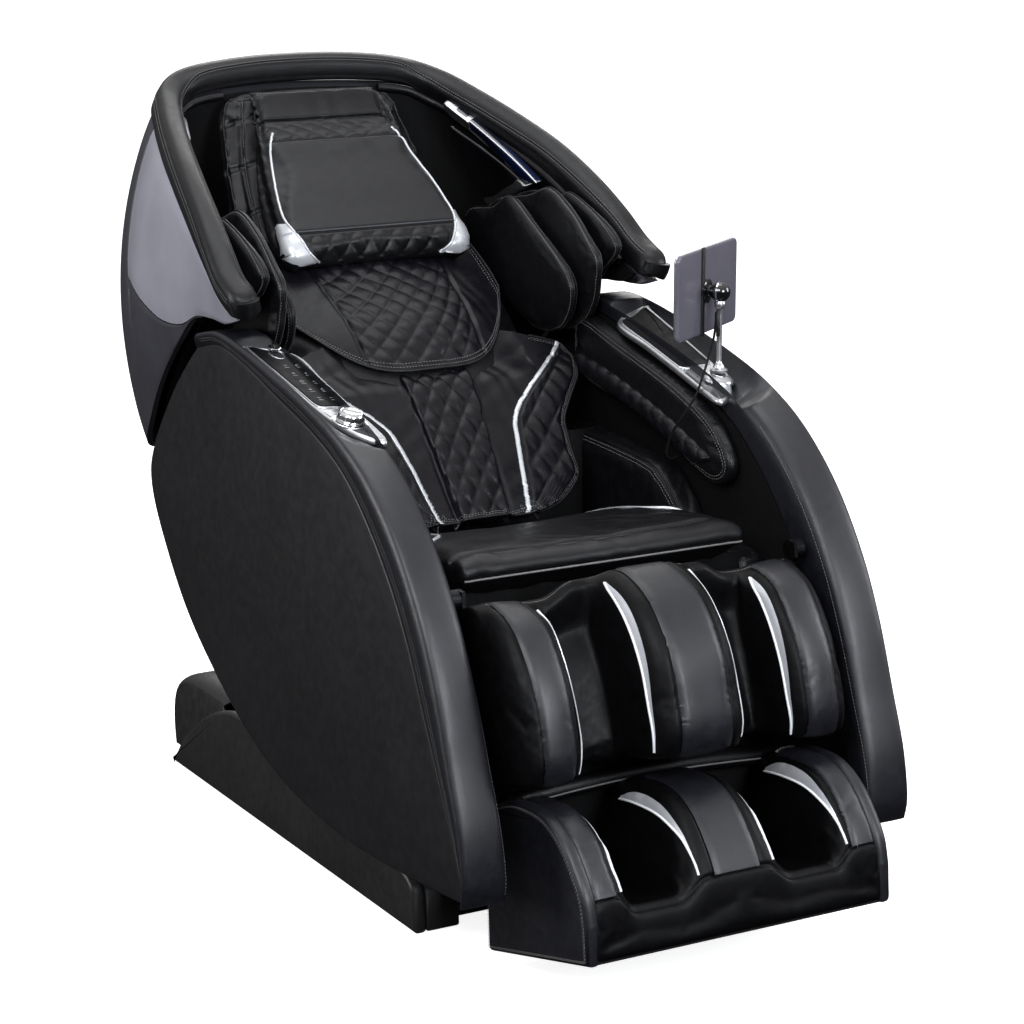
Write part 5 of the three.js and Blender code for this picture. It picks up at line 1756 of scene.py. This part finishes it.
# The foot unit's section: (X, how far down into the well).
FOOT_SHARES = [(0, 0), (36, 0.0), (54, 0.03), (66, 0.16), (78, 0.5), (92, 0.88), (104, 1.0), (142, 1.0),
               (172, 1.0),
               (184, 0.84), (192, 0.46), (202, 0.12), (216, 0.01), (236, 0.0), (256, 0.02)]


def foot():
    half = Curve(mm(FOOT_SHARES) * (1, 1000))(np.linspace(0, 1, 110))
    section = np.vstack([half[::-1] * (-1, 1), half[1:]])[::-1]
    t = np.linspace(0, 1, 110)
    share = np.clip(section[:, 1], 0, 1)[None, :, None]
    yz = FOOT_RIDGE(t)[:, None] * (1 - share) + FOOT_WELL(t)[:, None] * share
    grid = np.dstack([np.broadcast_to(section[:, 0], yz.shape[:2]), yz])
    obj = piece("foot_padding", *slab(grid, 0.016), TROUGH, "footrest", "leather", ["foot_cushion"], 60)
    chart = Chart(grid)
    stuff(obj, 0.006, 3, 3.0, 0.004, lambda p: (chart.locate(p)[4] < -0.008) * 1.0)
    side_outline = [[-612, 262], [-650, 282], [-700, 293], [-762, 293], [-814, 270], [-850, 236], [-876, 200],
                    [-888, 160], [-889, 100], [-600, 22], [-588, 110], [-600, 240]]
    sides = []
    for name, side in (("left", 1), ("right", -1)):
        shape = smooth(mm(side_outline[:8]), 70)
        shape = np.vstack([shape, mm(side_outline[8:])])
        x0, x1 = sorted((side * 246 * MM, side * FOOT_HALF * MM))
        sides.append((plate(f"{name}_foot_side", shape, x0, x1, 0.010, BAND, "footrest", "leather", (), 5),
                      shape,
                      side))
    return obj, chart, sides


def foot_tray():
    """The hard tray under the foot unit, and the leather roll across its back edge."""
    half = (FOOT_HALF - 6) * MM
    outline = mm([[-886, 100], [-886, 112], [-600, 36], [-600, 22]])
    plate("foot_tray", outline[::-1], -half, half, 0.002, PLASTIC, "footrest", "plastic", ["footrest_tray"],
          2)
    x = np.linspace(-0.245, 0.245, 60)
    roll = np.column_stack([x, np.full(60, -0.606), 0.258 + 0.012 * np.cos(x / 0.245 * math.pi / 2)])
    tube("foot_back_roll", roll, 0.015, LEATHER, "footrest", "leather", 16)
    # A dark lining sheet behind the foot unit: painted shade filling the shadowed gap there.
    z, x = np.meshgrid(np.linspace(0.10, 0.300, 20), np.linspace(-0.262, 0.262, 60), indexing="ij")
    cloth = np.dstack([x, -0.592 + 0.002 * np.sin(x * 80), z])
    piece("foot_back_shade_sheet", *slab(cloth, 0.003), LINING, "footrest", "lining", (), 60)
    tube("foot_back_piping", roll + (0, -0.017, -0.001), 0.0014, THREAD, "footrest", "leather", 8)


def finish_foot(obj, chart, sides):
    ridges = ((-0.040, 0.040), (0.208, 0.250), (-0.250, -0.208))
    walls = [(sign * x, sign * y) for sign in (-1, 1) for x, y in ((0.0680, 0.0630), (0.1985, 0.2035))]
    ridge_dressing("foot", obj, chart, "footrest", ridges, walls, 0.14, 0.70, (0.12, 0.66))
    skin = Skin(obj)
    places = [(x, 0.70) for x in np.linspace(-0.246, 0.246, 24)]
    path, ways = chart.line(skin, places, 260)
    groove(obj, path, 0.0035, 0.0035)
    for body, shape, side in sides:
        line = in_plane(inset(shape[:86], 0.009), side * FOOT_HALF * MM)
        spots, ways = Skin(body).lay(line, np.broadcast_to((side, 0, 0), line.shape), 0.02)
        for off in (0, 0.0045):
            stitch("footrest", spots + (0, off * 0.6, -off * 0.6), ways, radius=0.0005)


# ---------------------------------------------------------------- the whole chair
camera()
studio()
cable()
arm_bands()
consoles()
stand()
tablet()
hood()
base()
plain_looks()
arm_insides = [arm_inside(name, side) for name, side in (("left", 1), ("right", -1))]
seat_pad = seat()
back_pad, back_chart = back()
head, head_chart = pillow()
leaves = shoulders("left", 1) + shoulders("right", -1)
calves, calf_chart = calf()
feet, foot_chart, foot_sides = foot()
simulate()
for parts in arm_insides:
    arm_quilt(*parts[:2])
    finish_arm_inside(parts)
finish_seat(seat_pad)
finish_back(back_pad, back_chart)
lumbar()
apron()
finish_pillow(head, head_chart)
for leaf in leaves:
    finish_leaf(*leaf)
sound_and_light()
finish_calf(calves, calf_chart)
finish_foot(feet, foot_chart, foot_sides)
foot_tray()
build_threads({"lumbar": LUMBAR_BLEND})
